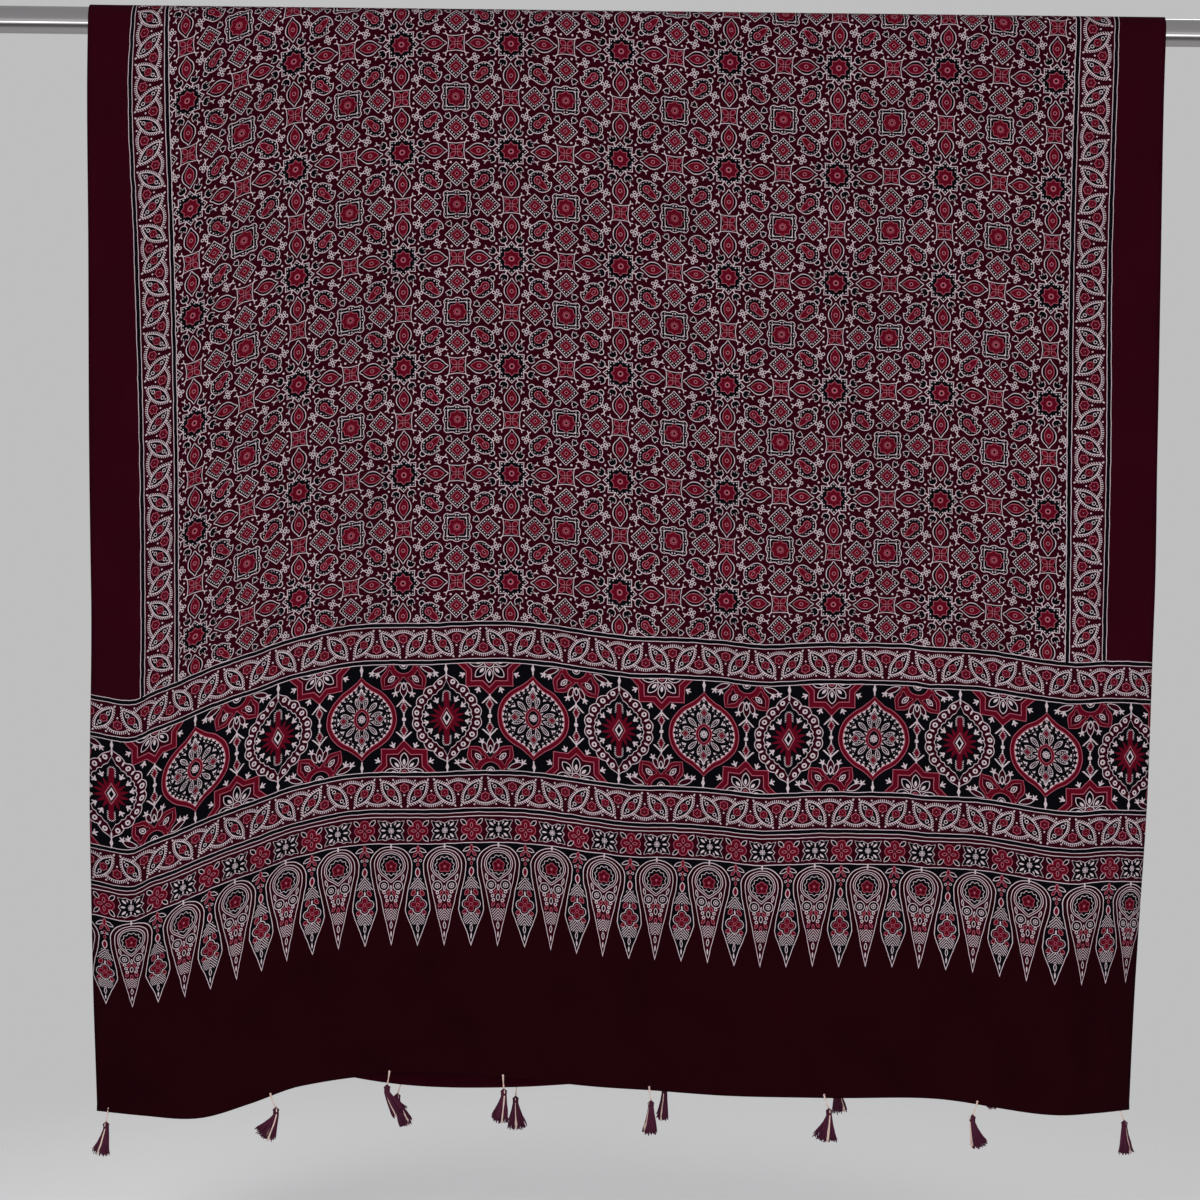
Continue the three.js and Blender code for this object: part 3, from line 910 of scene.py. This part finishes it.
# The wide band between the vine strips. Pearl medallions and pointed ovals take turns along it;
# between them a half star stands on one edge and a lotus on the other
def print_medallions(ink, across, along):
    from_hem = ink.nearer(along, CLOTH_LENGTH - along)
    place = ink.wrapped(across - MEDALLION_MIDDLE, 2 * MEDALLION_PITCH)
    x = abs(place)
    y = ink.math("MULTIPLY", from_hem - (LOWER_VINE_TOP + MEDALLIONS_TOP) / 2, ink.math("SIGN", place))
    half = (MEDALLIONS_TOP - LOWER_VINE_TOP) / 2 - 2.15
    up = abs(y)
    aside = abs(x - MEDALLION_PITCH / 2)
    ink.colour = INKS["black"]
    print_half_star(ink, aside, half - y)
    print_lotus(ink, ink.spot(aside, y + half))
    print_bud_chain(ink, aside, abs(y - (half - 54.4)))
    print_pearls(ink, x, up)
    print_oval(ink, MEDALLION_PITCH - x, up)
    tip = ink.nearer(x, MEDALLION_PITCH - x)
    stem = ink.nearer(tip + abs(up - 50.0) * 0.35, ink.farther(tip + 1.1, 45.5 - up))
    ink.bands(stem, [(1.7, "cream")])
    ink.outer_line(ink.nearer(from_hem - LOWER_VINE_MIDDLE, UPPER_VINE_MIDDLE - from_hem))


def print_half_star(ink, aside, down):
    far = ink.farther(aside, down)
    near = ink.nearer(aside, down)
    star = ink.nearer(far, (aside + down) * 0.707 + 0.75)
    ink.bands(star, [(17.9, "maroon"), (18.9, "pink"), (23.4, "red"), (24.3, "pink")])
    ahead = ink.towards(ink.spot(far, near), cos(SIXTEENTH), sin(SIXTEENTH))
    beside = abs(ink.towards(ink.spot(far, near), -sin(SIXTEENTH), cos(SIXTEENTH)))
    petal = ink.spot(ahead, beside)
    ink.bands(ink.past_leaf(petal, 12.2, 5.05, 22.5, 15.4, 8.8, 4), [(2.9, "black"), (4.0, "cream")])
    ink.bands(ink.past_leaf(petal, 10.2, 4.2, 22.5, 6.0, 2.6, 1), [(1.0, "cream")])
    ink.bands(ink.away(petal), [(2.0, "red"), (3.0, "pink"), (4.4, "black"), (5.6, "cream")])
    corner = ink.spot(far, near)
    ink.sprig(corner, 26.6, 11.3, 22)


def print_lotus(ink, spot):
    ink.bands(ink.past_leaf(spot, 26, 5.2, 22, 19, 6.4, 4), [(3.0, "maroon"), (4.0, "cream")])
    ink.sprig(spot, 33.0, 8.5, 50)
    ink.sprig(spot, 27.0, 9.5, 75)
    ink.bands(ink.past_leaf(spot, 5.6, 24, 66, 14, 6, 4), [(3.0, "maroon"), (4.0, "cream")])
    ink.sprig(spot, 8.3, 29.0, 60)
    wing = [
        (0, 13.6), (10, 11.9), (25, 10.6), (45, 10.0), (70, 9.6), (95, 9.2), (115, 9.8), (128, 12.0),
        (138, 13.4), (150, 11.5), (180, 9),
    ]
    past = ink.past_outline(ink.turned(spot, 14, 15, 52), wing, 12)
    arch = abs(ink.away(spot, 0, -1.8) - 12.6) + 9.7
    past = ink.nearer(past, arch)
    ink.bands(past, [(7.4, "maroon"), (8.2, "pink"), (11.2, "red"), (12, "pink")])
    ink.bands(ink.past_leaf(spot, 12.6, 14.6, 45, 9.5, 5.2, 3), [(1.9, "black"), (3.0, "cream")])
    ink.bands(ink.past_leaf(spot, 12.6, 14.6, 45, 3.6, 1.4, 1), [(1.0, "cream")])
    ink.bands(ink.past_leaf(spot, 0, 25.5, 90, 16.5, 8, 4), [(3.0, "maroon"), (4.0, "cream")])
    seed = ink.past_leaf(spot, 0, 22.3, 90, 8.4, 4.4, 3)
    ink.bands(seed, [(2.0, "black"), (3.0, "cream")])
    ink.bands(ink.away(spot), [(2.2, "cream"), (3.4, "black"), (4.4, "cream")])


# Two buds, tip to tip over a dot
def print_bud_chain(ink, aside, up):
    bud = aside * 1.85 + abs(up - 11.8)
    ink.bands(bud, [(5.4, None), (7.6, "cream")], where=ink.stripes(up, 1.7, 0.8))
    ink.bands(bud, [(4.4, "red"), (5.6, "pink")])
    wing = ink.farther(abs(aside * 0.7 + up * 0.714 - 14.5), 13.6 - up)
    stem = ink.farther(aside, abs(up - 19.6) - 2.2)
    tip = ink.farther(aside, abs(up - 4.9) - 1.6)
    dot = ink.away(ink.spot(aside, up)) - 1.4
    ink.bands(ink.nearer(wing, stem, tip, dot), [(0.6, "cream")])


# The scalloped medallion with a ring of pearls round a red sunburst
def print_pearls(ink, x, up):
    spot = ink.spot(x, up)
    from_top = ink.spot(up, x)
    angle = ink.math("ARCTAN2", x, up)
    scallops = ink.math("MULTIPLY", abs(ink.math("SINE", angle * 8)), 2.5)
    rim = [(0, 48.6), (5, 44.0), (11, 41.6), (20, 39.4), (34, 37.6), (56, 36.6), (90, 36.9)]
    ink.bands(ink.past_outline(from_top, rim, 20) - scallops + 2.5, [(19.0, "maroon"), (20.0, "cream")])
    pearls = [ink.away(spot, *place) for place in ((6.7, 36.7), (16.8, 27.6), (25.8, 17.8), (31.1, 6.1))]
    ink.bands(ink.nearer(*pearls), [(1.0, "black"), (2.6, "cream")])
    spindles = [(0, 41.6, 90), (11.7, 32.3, 65), (21.3, 22.9, 45), (28.5, 12.0, 23), (31.6, 0, 0)]
    turned = [ink.away(ink.turned(spot, *place, (2.6, 1))) for place in spindles]
    ink.bands(ink.nearer(*turned), [(0.9, "cream")])
    ripples = ink.math("MULTIPLY", abs(ink.math("COSINE", angle * 12)), 1.3)
    rim = [(0, 38.6), (3, 35.8), (6, 33.6), (10, 31.6), (16, 29.8), (29, 27.9), (45, 27), (90, 26.6)]
    ink.bands(ink.past_outline(from_top, rim, 20) - ripples + 1.3, [(19.1, "black"), (20.0, "cream")])
    burst = [
        (0, 24), (4, 22), (9, 15), (14, 12.0), (21, 10.5), (30, 17.5), (42, 8.8), (55, 17.5),
        (67, 8.8), (78, 18.6), (90, 9.0),
    ]
    past = ink.past_outline(from_top, burst, 10, sharp=True)
    arm = ink.away(ink.spot(x, ink.farther(up - 24.0, 0)))
    toothed = ink.math("MULTIPLY", ink.stripes(up - x * 0.6, 1.9, 0.8), ink.math("GREATER_THAN", up, 17.5))
    ink.bands(arm, [(2.6, None), (4.4, "cream")], where=toothed)
    ink.bands(ink.nearer(past, arm + 7.2), [(10, "red")])
    ink.sprig(spot, 9.6, 17.4, 60)
    ink.sprig(spot, 16.2, 11.6, 35)
    ink.sprig(spot, 20.2, 4.0, 12)
    ink.bands(x * 1.62 + up, [(4.2, "black"), (7.0, "cream"), (9.8, "black"), (11.4, "pink")])


# The pointed oval: a red rim, a ring of curls, and a flower with dotted petals
def print_oval(ink, x, up):
    spot = ink.spot(up, x)
    rim = [(0, 43.3), (7, 38.8), (13, 36.7), (20, 35), (34, 34.7), (53, 35.3), (69, 36.3), (90, 36.9)]
    past = ink.past_outline(spot, rim, 20)
    ink.bands(past, [(14.8, "cream"), (15.8, "pink"), (19.1, "red"), (20, "pink")])
    angle = ink.math("ARCTAN2", x, up)
    curl = ink.spot(ink.mirrored(angle * 1.3, 3.0), past)
    hook = ink.farther(abs(ink.away(curl, 0.4, 11.4) - 1.7), past - 12.2)
    ink.bands(ink.nearer(hook, ink.away(curl, 3.0, 13.4) - 0.5), [(0.9, "black")])
    ink.bands(ink.away(curl, 3.0, 8.8), [(1.2, "black")])
    ahead = ink.away(spot)
    turn = ink.mirrored(angle, radians(15) * HAND)
    beside = (radians(15) * HAND - turn) * (17.0 / HAND)
    petal = ink.spot(abs(ahead - 16.4), beside)
    ink.bands(ink.away(petal, 0, -7.2), [(8.9, "black"), (9.7, "cream"), (12.4, "black")])
    inside = ink.math("LESS_THAN", abs(ahead - 16.4), 5.0)
    ink.bands(beside, [(0.6, "cream")], where=ink.math("MULTIPLY", ink.stripes(ahead, 1.9, 0.9), inside))
    far = ink.farther(x, up * 0.87)
    near = ink.nearer(x, up * 0.87)
    diamond = abs(far - 19.0) + near * 1.15
    ink.bands(diamond, [(2.3, "red"), (3.2, "pink"), (4.2, "black"), (5.1, "cream"), (6.0, "black")])
    centre = ink.past_leaf(spot, 0, 0, 0, 22.8, 17.4, 12)
    ink.bands(centre, [(8.6, "black"), (9.4, "pink"), (11.2, "red"), (12, "pink")])
    flower = ink.lobed(spot, 0, 0, 8, 0.3)
    ink.bands(flower, [(0.8, "black"), (2.4, "cream"), (2.9, "black"), (3.8, "cream")])


# The band of flower tiles, and below it drops and bulbs that run out into points
def print_points(ink, across, along):
    from_hem = ink.nearer(along, CLOTH_LENGTH - along)
    x = ink.mirrored(across + QUARTER_REPEAT / 2, QUARTER_REPEAT)
    down = POINTS_TOP - from_hem
    over = QUARTER_REPEAT - x
    # The ground is made darker near the front hem only; the same band at the back hem keeps the usual maroon
    ink.lay(ink.math("LESS_THAN", along, POINTS_TOP + 60), INKS["darker_front_ground"])
    print_bulb(ink, x, over, down)
    print_drop(ink, x, down)
    in_band = ink.math("LESS_THAN", down, 0.6)
    ink.bands(abs(down + 13.3), [(12.9, "maroon"), (13.9, "cream"), (24, "maroon")], where=in_band)
    print_octofoil(ink, ink.spot(x, abs(down + 13.3)))
    print_quatrefoil(ink, ink.spot(over, abs(down + 13.3)))
    ink.outer_line(abs(from_hem - LOWER_VINE_MIDDLE))


def print_octofoil(ink, spot):
    rim = [(0, 13.6), (16, 11.4), (28, 14.6), (36, 17.6), (45, 13.2), (58, 12.2), (72, 9.4), (90, 7.6)]
    ink.bands(ink.past_outline(spot, rim, 8, sharp=True), [(7.1, "black"), (8, "cream")])
    leaves = ink.nearer(
        ink.past_leaf(spot, 7.4, 5.6, 40, 5.6, 2.0, 1), ink.past_leaf(spot, 8.2, 0, 0, 5.0, 1.7, 1),
        ink.past_leaf(spot, 0, 5.2, 90, 3.6, 1.3, 1), ink.past_leaf(spot, 4.3, 7.2, 62, 3.6, 1.1, 1),
    )
    ink.bands(leaves, [(1, "cream")])
    flower = ink.lobed(spot, 0, 0, 8, 0.5)
    ink.bands(flower, [(1.2, "cream"), (1.8, "black"), (2.8, "cream"), (3.5, "black")])


def print_quatrefoil(ink, spot):
    ink.bands(ink.past_leaf(spot, 8.0, 7.6, 44, 9.0, 4.8, 3), [(2.1, "black"), (3, "cream")])
    lobes = ink.nearer(ink.away(spot, 5.6, 0), ink.away(spot, 0, 5.6))
    ink.bands(ink.nearer(lobes, ink.away(spot) + 0.8), [(4.3, "red"), (5.1, "pink")])
    loop = ink.past_leaf(spot, 4.4, 0, 0, 6.6, 3.4, 3)
    loops = ink.nearer(loop, ink.past_leaf(spot, 0, 4.4, 90, 6.6, 3.4, 3))
    ink.bands(loops, [(2.0, "black"), (3, "pink")])
    cross, up = ink.parts(spot)
    ink.bands(abs(cross - up), [(0.35, "black")], where=ink.math("LESS_THAN", cross, 3.4))


def print_bulb(ink, x, over, down):
    rim = [
        (0, 3), (22, 6.35), (33, 7.2), (49, 10.8), (60, 12.7), (68, 13.4), (73, 12.0), (90, 5.2), (105.6, 0),
    ]
    arch = ink.turned(ink.spot(x, ink.nearer(down, 22.0)), 0, 22, 0, (1.15, 1))
    arch = ink.farther(38.6 - ink.away(arch), down - 2)
    past = ink.nearer(ink.past_profile(over, down, rim, 20), arch)
    ink.bands(past, [(19, "black"), (20, "cream")])
    ink.bands(ink.farther(x, down - 4), [(0.7, "cream")])
    spot = ink.spot(over, down)
    ink.bands(ink.past_leaf(spot, 4.6, 6.6, 25, 10.5, 4.2, 3), [(2.1, "black"), (3, "cream")])
    ink.bands(ink.past_leaf(spot, 3.2, 11.4, 50, 6.6, 3.2, 3), [(2.2, "red"), (3, "pink")])
    ink.bands(ink.past_leaf(spot, 0, 5.6, 90, 8.4, 4.2, 3), [(2, "red"), (3, "pink")])
    bits = ink.spot(over, abs(down - 18.5))
    ink.bands(ink.away(bits, 0, 2.6) + over * 0.35, [(1.3, "red"), (2.1, "pink")])
    ink.bands(ink.away(spot, 2.6, 17.0), [(0.7, "black"), (1.4, "cream")])
    ink.bands(ink.past_leaf(spot, 0, 29.5, 90, 10.5, 5.6, 3), [(1.6, "red"), (2.2, "pink"), (3, "cream")])
    chevron = down - over * 1.1
    teeth = ink.stripes(chevron, 2.9, 1.0)
    flare = ink.math("MULTIPLY", ink.math("LESS_THAN", abs(down - 41.0), 6.0), teeth)
    ink.bands(over - down * 0.45 + 20, [(7.6, "cream")], where=flare)
    ink.bands(ink.past_leaf(spot, 4.6, 50.6, 55, 7.5, 4.6, 3), [(2.1, "red"), (3, "pink")])
    ink.bands(ink.past_leaf(spot, 0, 51.0, 90, 5.0, 1.4, 1), [(1, "cream")])
    flower = ink.moved(spot, 0, 62.5)
    quarter = ink.folded(flower)
    lobes = ink.nearer(ink.away(quarter, 4.6, 0), ink.away(quarter, 0, 4.6), ink.away(flower))
    ink.bands(lobes, [(2.3, "red"), (3.0, "pink"), (4.2, "black"), (5.1, "cream")])
    ink.bands(ink.away(flower), [(1.1, "red"), (1.9, "pink"), (2.9, "red")])
    ink.bands(ink.past_leaf(spot, 7.0, 70.6, 50, 6.2, 4.4, 3), [(2.2, "red"), (3, "pink")])
    inside = ink.math("LESS_THAN", past, 18)
    lower = ink.math("MULTIPLY", ink.math("LESS_THAN", abs(down - 77.5), 5.5), inside)
    ink.bands(over, [(8, "cream")], where=ink.math("MULTIPLY", lower, teeth))
    ink.bands(ink.past_leaf(spot, 0, 87.0, 90, 8.5, 3.2, 2), [(1.1, "black"), (2, "cream")])
    ink.bands(ink.past_leaf(spot, 0, 95, 90, 6, 1.4, 1), [(1, "cream")])


def print_drop(ink, x, down):
    spot = ink.spot(x, down)
    upper = ink.spot(x, ink.nearer(down, 22.0))
    taper = [(0, 40), (21.9, 18.3), (28, 17.5), (38.5, 15.6), (105.6, 0)]
    round_top = ink.away(ink.turned(upper, 0, 22, 0, (1.084, 1))) - 16.6
    past = ink.farther(round_top, ink.past_profile(x, down, taper, 0)) + 20
    ink.bands(past, [(19.1, "maroon"), (20, "cream")])
    cone = ink.towards(spot, 0.6, 0.8) - 12.0
    round_drop = ink.away(ink.turned(spot, 0, 22, 0, (1.042, 1))) + 5.8
    inner = ink.nearer(round_drop, ink.farther(cone, (32.8 - down) * 8 + 20))
    ink.bands(inner, [(17.3, "black"), (18.1, "cream"), (19.1, "maroon"), (20.0, "cream")])
    ink.bands(ink.lobed(spot, 0, 22.8, 11, 0.7), [(8.9, "black"), (9.7, "cream")])
    clover = ink.moved(spot, 0, 23.3)
    lobes = ink.nearer(ink.away(clover, 3.2, -1.0), ink.away(clover, 0, -3.2), ink.away(clover, 2.4, 3.0))
    ink.bands(lobes, [(0.7, "black"), (2.5, "red"), (3.2, "pink")])
    ink.bands(ink.away(clover), [(0.9, "pink")])
    curl = ink.away(spot, 7.4, 43.2)
    ink.bands(curl, [(0.9, "cream"), (1.8, "black"), (2.7, "cream"), (4.5, "black"), (5.4, "cream")])
    ink.bands(ink.past_leaf(spot, 12.2, 35.0, 105, 8, 2.8, 2), [(1.1, "black"), (2, "cream")])
    ink.bands(ink.past_leaf(spot, 0, 45.6, 90, 6.5, 2.6, 2), [(1.1, "black"), (2, "cream")])
    ink.bands(ink.past_leaf(spot, 2.9, 50.6, 60, 6.6, 3.4, 3), [(2.1, "red"), (3, "pink")])
    berries = [(7.4, 50.0), (5.8, 54.4), (4.6, 58.6)]
    ink.dots(spot, berries, 1.7)
    ink.dots(spot, berries, 0.8, "black")
    ink.bands(ink.past_leaf(spot, 0, 55.6, 90, 7.5, 4.0, 3), [(2.1, "black"), (3, "cream")])
    ink.bands(ink.past_leaf(spot, 4.9, 62.6, 60, 6.4, 3.4, 3), [(2.2, "red"), (3, "pink")])
    ink.bands(ink.past_leaf(spot, 0, 65.0, 90, 7.0, 3.4, 3), [(2.2, "red"), (3, "pink")])
    inside = ink.math("LESS_THAN", past, 18.2)
    low = ink.math("MULTIPLY", ink.math("LESS_THAN", abs(down - 73.0), 6.0), inside)
    low = ink.math("MULTIPLY", low, ink.stripes(down - x * 1.1, 2.9, 1.0))
    ink.bands(x, [(7, "cream")], where=low)
    ink.bands(ink.past_leaf(spot, 0, 84, 90, 8, 3.2, 2), [(1.1, "black"), (2, "cream")])
    ink.bands(ink.past_leaf(spot, 0, 93, 90, 6, 1.4, 1), [(1, "cream")])


def print_plain(ink, across, along):
    from_hem = ink.nearer(along, CLOTH_LENGTH - along)
    # The ground is made darker near the front hem only; the plain end at the back hem keeps the usual maroon
    ink.lay(ink.math("LESS_THAN", along, POINTS_TOP), INKS["darker_front_ground"])
    side = ink.farther(abs(across) - SIDE_VINE_MIDDLE, UPPER_VINE_TOP - from_hem)
    ink.outer_line(ink.nearer(side, abs(from_hem - UPPER_VINE_MIDDLE)))


PRINTERS = {
    "plain": print_plain, "field": print_field, "side_vine": print_side_vine,
    "end_vine": print_end_vine, "medallions": print_medallions, "points": print_points,
}


# Thin matt cotton: slightly uneven dye, and the weave as fine bump
def make_print(name):
    ink = Ink("cloth_" + name)
    flat = flat_cloth(ink)
    x, y = ink.parts(printed_spot(ink, flat))
    ink.colour = INKS["maroon"]
    PRINTERS[name](ink, x, y)
    dye = ink.noise(flat, 0.35, 3.0, noise_dimensions="2D")
    level = ink.node("ShaderNodeMapRange")
    ink.tree.links.new(dye.outputs["Fac"], level.inputs["Value"])
    level.inputs["To Min"].default_value = 0.82
    level.inputs["To Max"].default_value = 1.18
    dyed = ink.node("ShaderNodeVectorMath", operation="SCALE")
    if isinstance(ink.colour, tuple):
        dyed.inputs[0].default_value = ink.colour
    else:
        ink.tree.links.new(ink.colour, dyed.inputs[0])
    ink.tree.links.new(level.outputs[0], dyed.inputs["Scale"])
    weave = ink.noise(flat, 28.0, 2.0, noise_dimensions="2D")
    shader = ink.surface(dyed.outputs[0], weave, 0.25, 0.4)
    shader.inputs["Roughness"].default_value = 0.88
    shader.inputs["Specular IOR Level"].default_value = 0.02
    return ink.material


# Soft twisted yarn, lighter and darker along its plies
def make_yarn_material(name, dark, light):
    ink = Ink(name)
    place = ink.node("ShaderNodeTexCoord")
    plies = ink.noise(place.outputs["Object"], 1400, 2.0)
    shade = ink.node("ShaderNodeMix", data_type="RGBA")
    shade.inputs[6].default_value = dark + (1,)
    shade.inputs[7].default_value = light + (1,)
    ink.tree.links.new(plies.outputs["Fac"], shade.inputs[0])
    shader = ink.surface(shade.outputs[2], plies, 0.5, 0.4)
    shader.inputs["Roughness"].default_value = 0.9
    shader.inputs["Specular IOR Level"].default_value = 0.1
    return ink.material


# Drawn steel tube with fine lines along it, and painted reflections in its colour
def make_steel():
    ink = Ink("rod_polished_steel")
    place = ink.node("ShaderNodeTexCoord")
    stretch = ink.node("ShaderNodeMapping")
    stretch.inputs["Scale"].default_value = (6, 900, 900)
    ink.tree.links.new(place.outputs["Object"], stretch.inputs["Vector"])
    lines = ink.noise(stretch.outputs[0], 1.0, 3.0)
    tone = ink.node("ShaderNodeMapRange")
    ink.tree.links.new(lines.outputs["Fac"], tone.inputs["Value"])
    tone.inputs["To Min"].default_value = 0.10
    tone.inputs["To Max"].default_value = 0.22
    parts = ink.node("ShaderNodeSeparateXYZ")
    height = ink.node("ShaderNodeMapRange")
    ink.tree.links.new(place.outputs["Object"], parts.inputs[0])
    ink.tree.links.new(parts.outputs[2], height.inputs["Value"])
    height.inputs["From Min"].default_value = -ROD_DIAMETER / 2 * MM
    height.inputs["From Max"].default_value = ROD_DIAMETER / 2 * MM
    # Painted reflections: the base colour is lighter and darker by height round the rod, with a painted
    # highlight band below the middle, a painted dark band under it and a painted dark line at the top
    painted_reflection_ramp = ink.node("ShaderNodeValToRGB")
    ink.tree.links.new(height.outputs[0], painted_reflection_ramp.inputs["Fac"])
    ends = [(0, 0.30), (1, 0.30)]
    between = [
        (0.03, 0.44), (0.14, 0.36), (0.2, 0.14), (0.3, 0.12), (0.33, 0.7), (0.42, 0.7), (0.46, 0.45),
        (0.55, 0.4), (0.9, 0.36), (0.97, 0.2),
    ]
    stops = painted_reflection_ramp.color_ramp.elements
    for level, grey in ends + between:
        stop = {0: stops[0], 1: stops[-1]}.get(level) or stops.new(level)
        stop.color = (grey, grey * 0.96, grey * 0.98, 1)
    shader = ink.surface(painted_reflection_ramp.outputs["Color"], lines, 0.15, 0.2)
    shader.inputs["Metallic"].default_value = 1.0
    ink.tree.links.new(tone.outputs[0], shader.inputs["Roughness"])
    return ink.material


def make_plain_material(name, colour, roughness):
    material = bpy.data.materials.new(name)
    material.use_nodes = True
    shader = material.node_tree.nodes["Principled BSDF"]
    shader.inputs["Base Color"].default_value = colour + (1,)
    shader.inputs["Roughness"].default_value = roughness
    shader.inputs["Specular IOR Level"].default_value = 0.1
    return material


def make_camera():
    data = bpy.data.cameras.new("photo_camera")
    data.sensor_width = 36
    data.lens = data.sensor_width * CAMERA_DISTANCE / PHOTO_WIDTH
    camera = bpy.data.objects.new("photo_camera", data)
    camera.location = (PHOTO_MIDDLE[0] * MM, -(CAMERA_DISTANCE + BEND_RADIUS) * MM, PHOTO_MIDDLE[1] * MM)
    camera.rotation_euler = (pi / 2, radians(-ROD_SLOPE), 0)
    bpy.context.collection.objects.link(camera)
    bpy.context.scene.camera = camera


def make_light(name, place, target, size, power):
    data = bpy.data.lights.new(name, "AREA")
    data.shape = "DISK"
    data.size = size
    data.energy = power
    light = bpy.data.objects.new(name, data)
    light.location = place
    aim = [t - p for t, p in zip(target, place)]
    flat = (aim[0] ** 2 + aim[1] ** 2) ** 0.5
    light.rotation_euler = (atan2(flat, -aim[2]), 0, atan2(-aim[0], aim[1]))
    bpy.context.collection.objects.link(light)
    return light


# A pale floor that fades out into the pale room
def make_floor():
    bpy.ops.mesh.primitive_circle_add(vertices=64, radius=1.3, fill_type="NGON", location=(0, 0, -1.26))
    floor = bpy.context.object
    floor.name = "floor"
    material = make_plain_material("pale_floor", (0.8, 0.8, 0.81), 0.7)
    floor.data.materials.append(material)
    tree = material.node_tree
    place = tree.nodes.new("ShaderNodeTexCoord")
    reach = tree.nodes.new("ShaderNodeVectorMath")
    reach.operation = "LENGTH"
    fade = tree.nodes.new("ShaderNodeMapRange")
    fade.interpolation_type = "SMOOTHSTEP"
    fade.inputs["From Min"].default_value = 0.35
    fade.inputs["From Max"].default_value = 1.25
    fade.inputs["To Min"].default_value = 1.0
    fade.inputs["To Max"].default_value = 0.0
    tree.links.new(place.outputs["Object"], reach.inputs[0])
    tree.links.new(reach.outputs["Value"], fade.inputs["Value"])
    tree.links.new(fade.outputs[0], tree.nodes["Principled BSDF"].inputs["Alpha"])


def make_studio():
    world = bpy.data.worlds.new("pale_room")
    bpy.context.scene.world = world
    world.use_nodes = True
    background = world.node_tree.nodes["Background"]
    background.inputs["Color"].default_value = (0.575, 0.575, 0.58, 1)
    background.inputs["Strength"].default_value = 0.9
    middle = (0, 0, -0.6)
    strip = make_light("rod_strip_light", (0, -1.5, -1.05), (0, 0, 0), 0.34, 7.5)
    strip.data.shape = "RECTANGLE"
    strip.data.size = 2.6
    strip.data.size_y = 0.34
    strip.visible_camera = False
    key = make_light("key_light", (-1.6, -3.2, 1.6), middle, 2.4, 58)
    fill = make_light("fill_light", (2.4, -3.0, 0.4), middle, 2.4, 21)
    low = make_light("low_fill_light", (0.2, -3.0, -1.0), (0, 0, -0.9), 1.4, 20)
    for light in (key, fill, low):
        light.visible_glossy = False
    make_light("back_light", (0.5, 3.2, 1.4), middle, 2.4, 40)
    make_floor()
    bpy.context.scene.view_settings.view_transform = "Standard"


make_camera()
make_studio()
materials = {name: make_print(name) for name in PRINTS}
cloth = make_cloth(materials)
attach(cloth, "root")
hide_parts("cloth")
tassels = make_tassels()
steel = make_steel()
rod = bpy.data.objects["rod"]
for slot in rod.material_slots:
    slot.material = steel
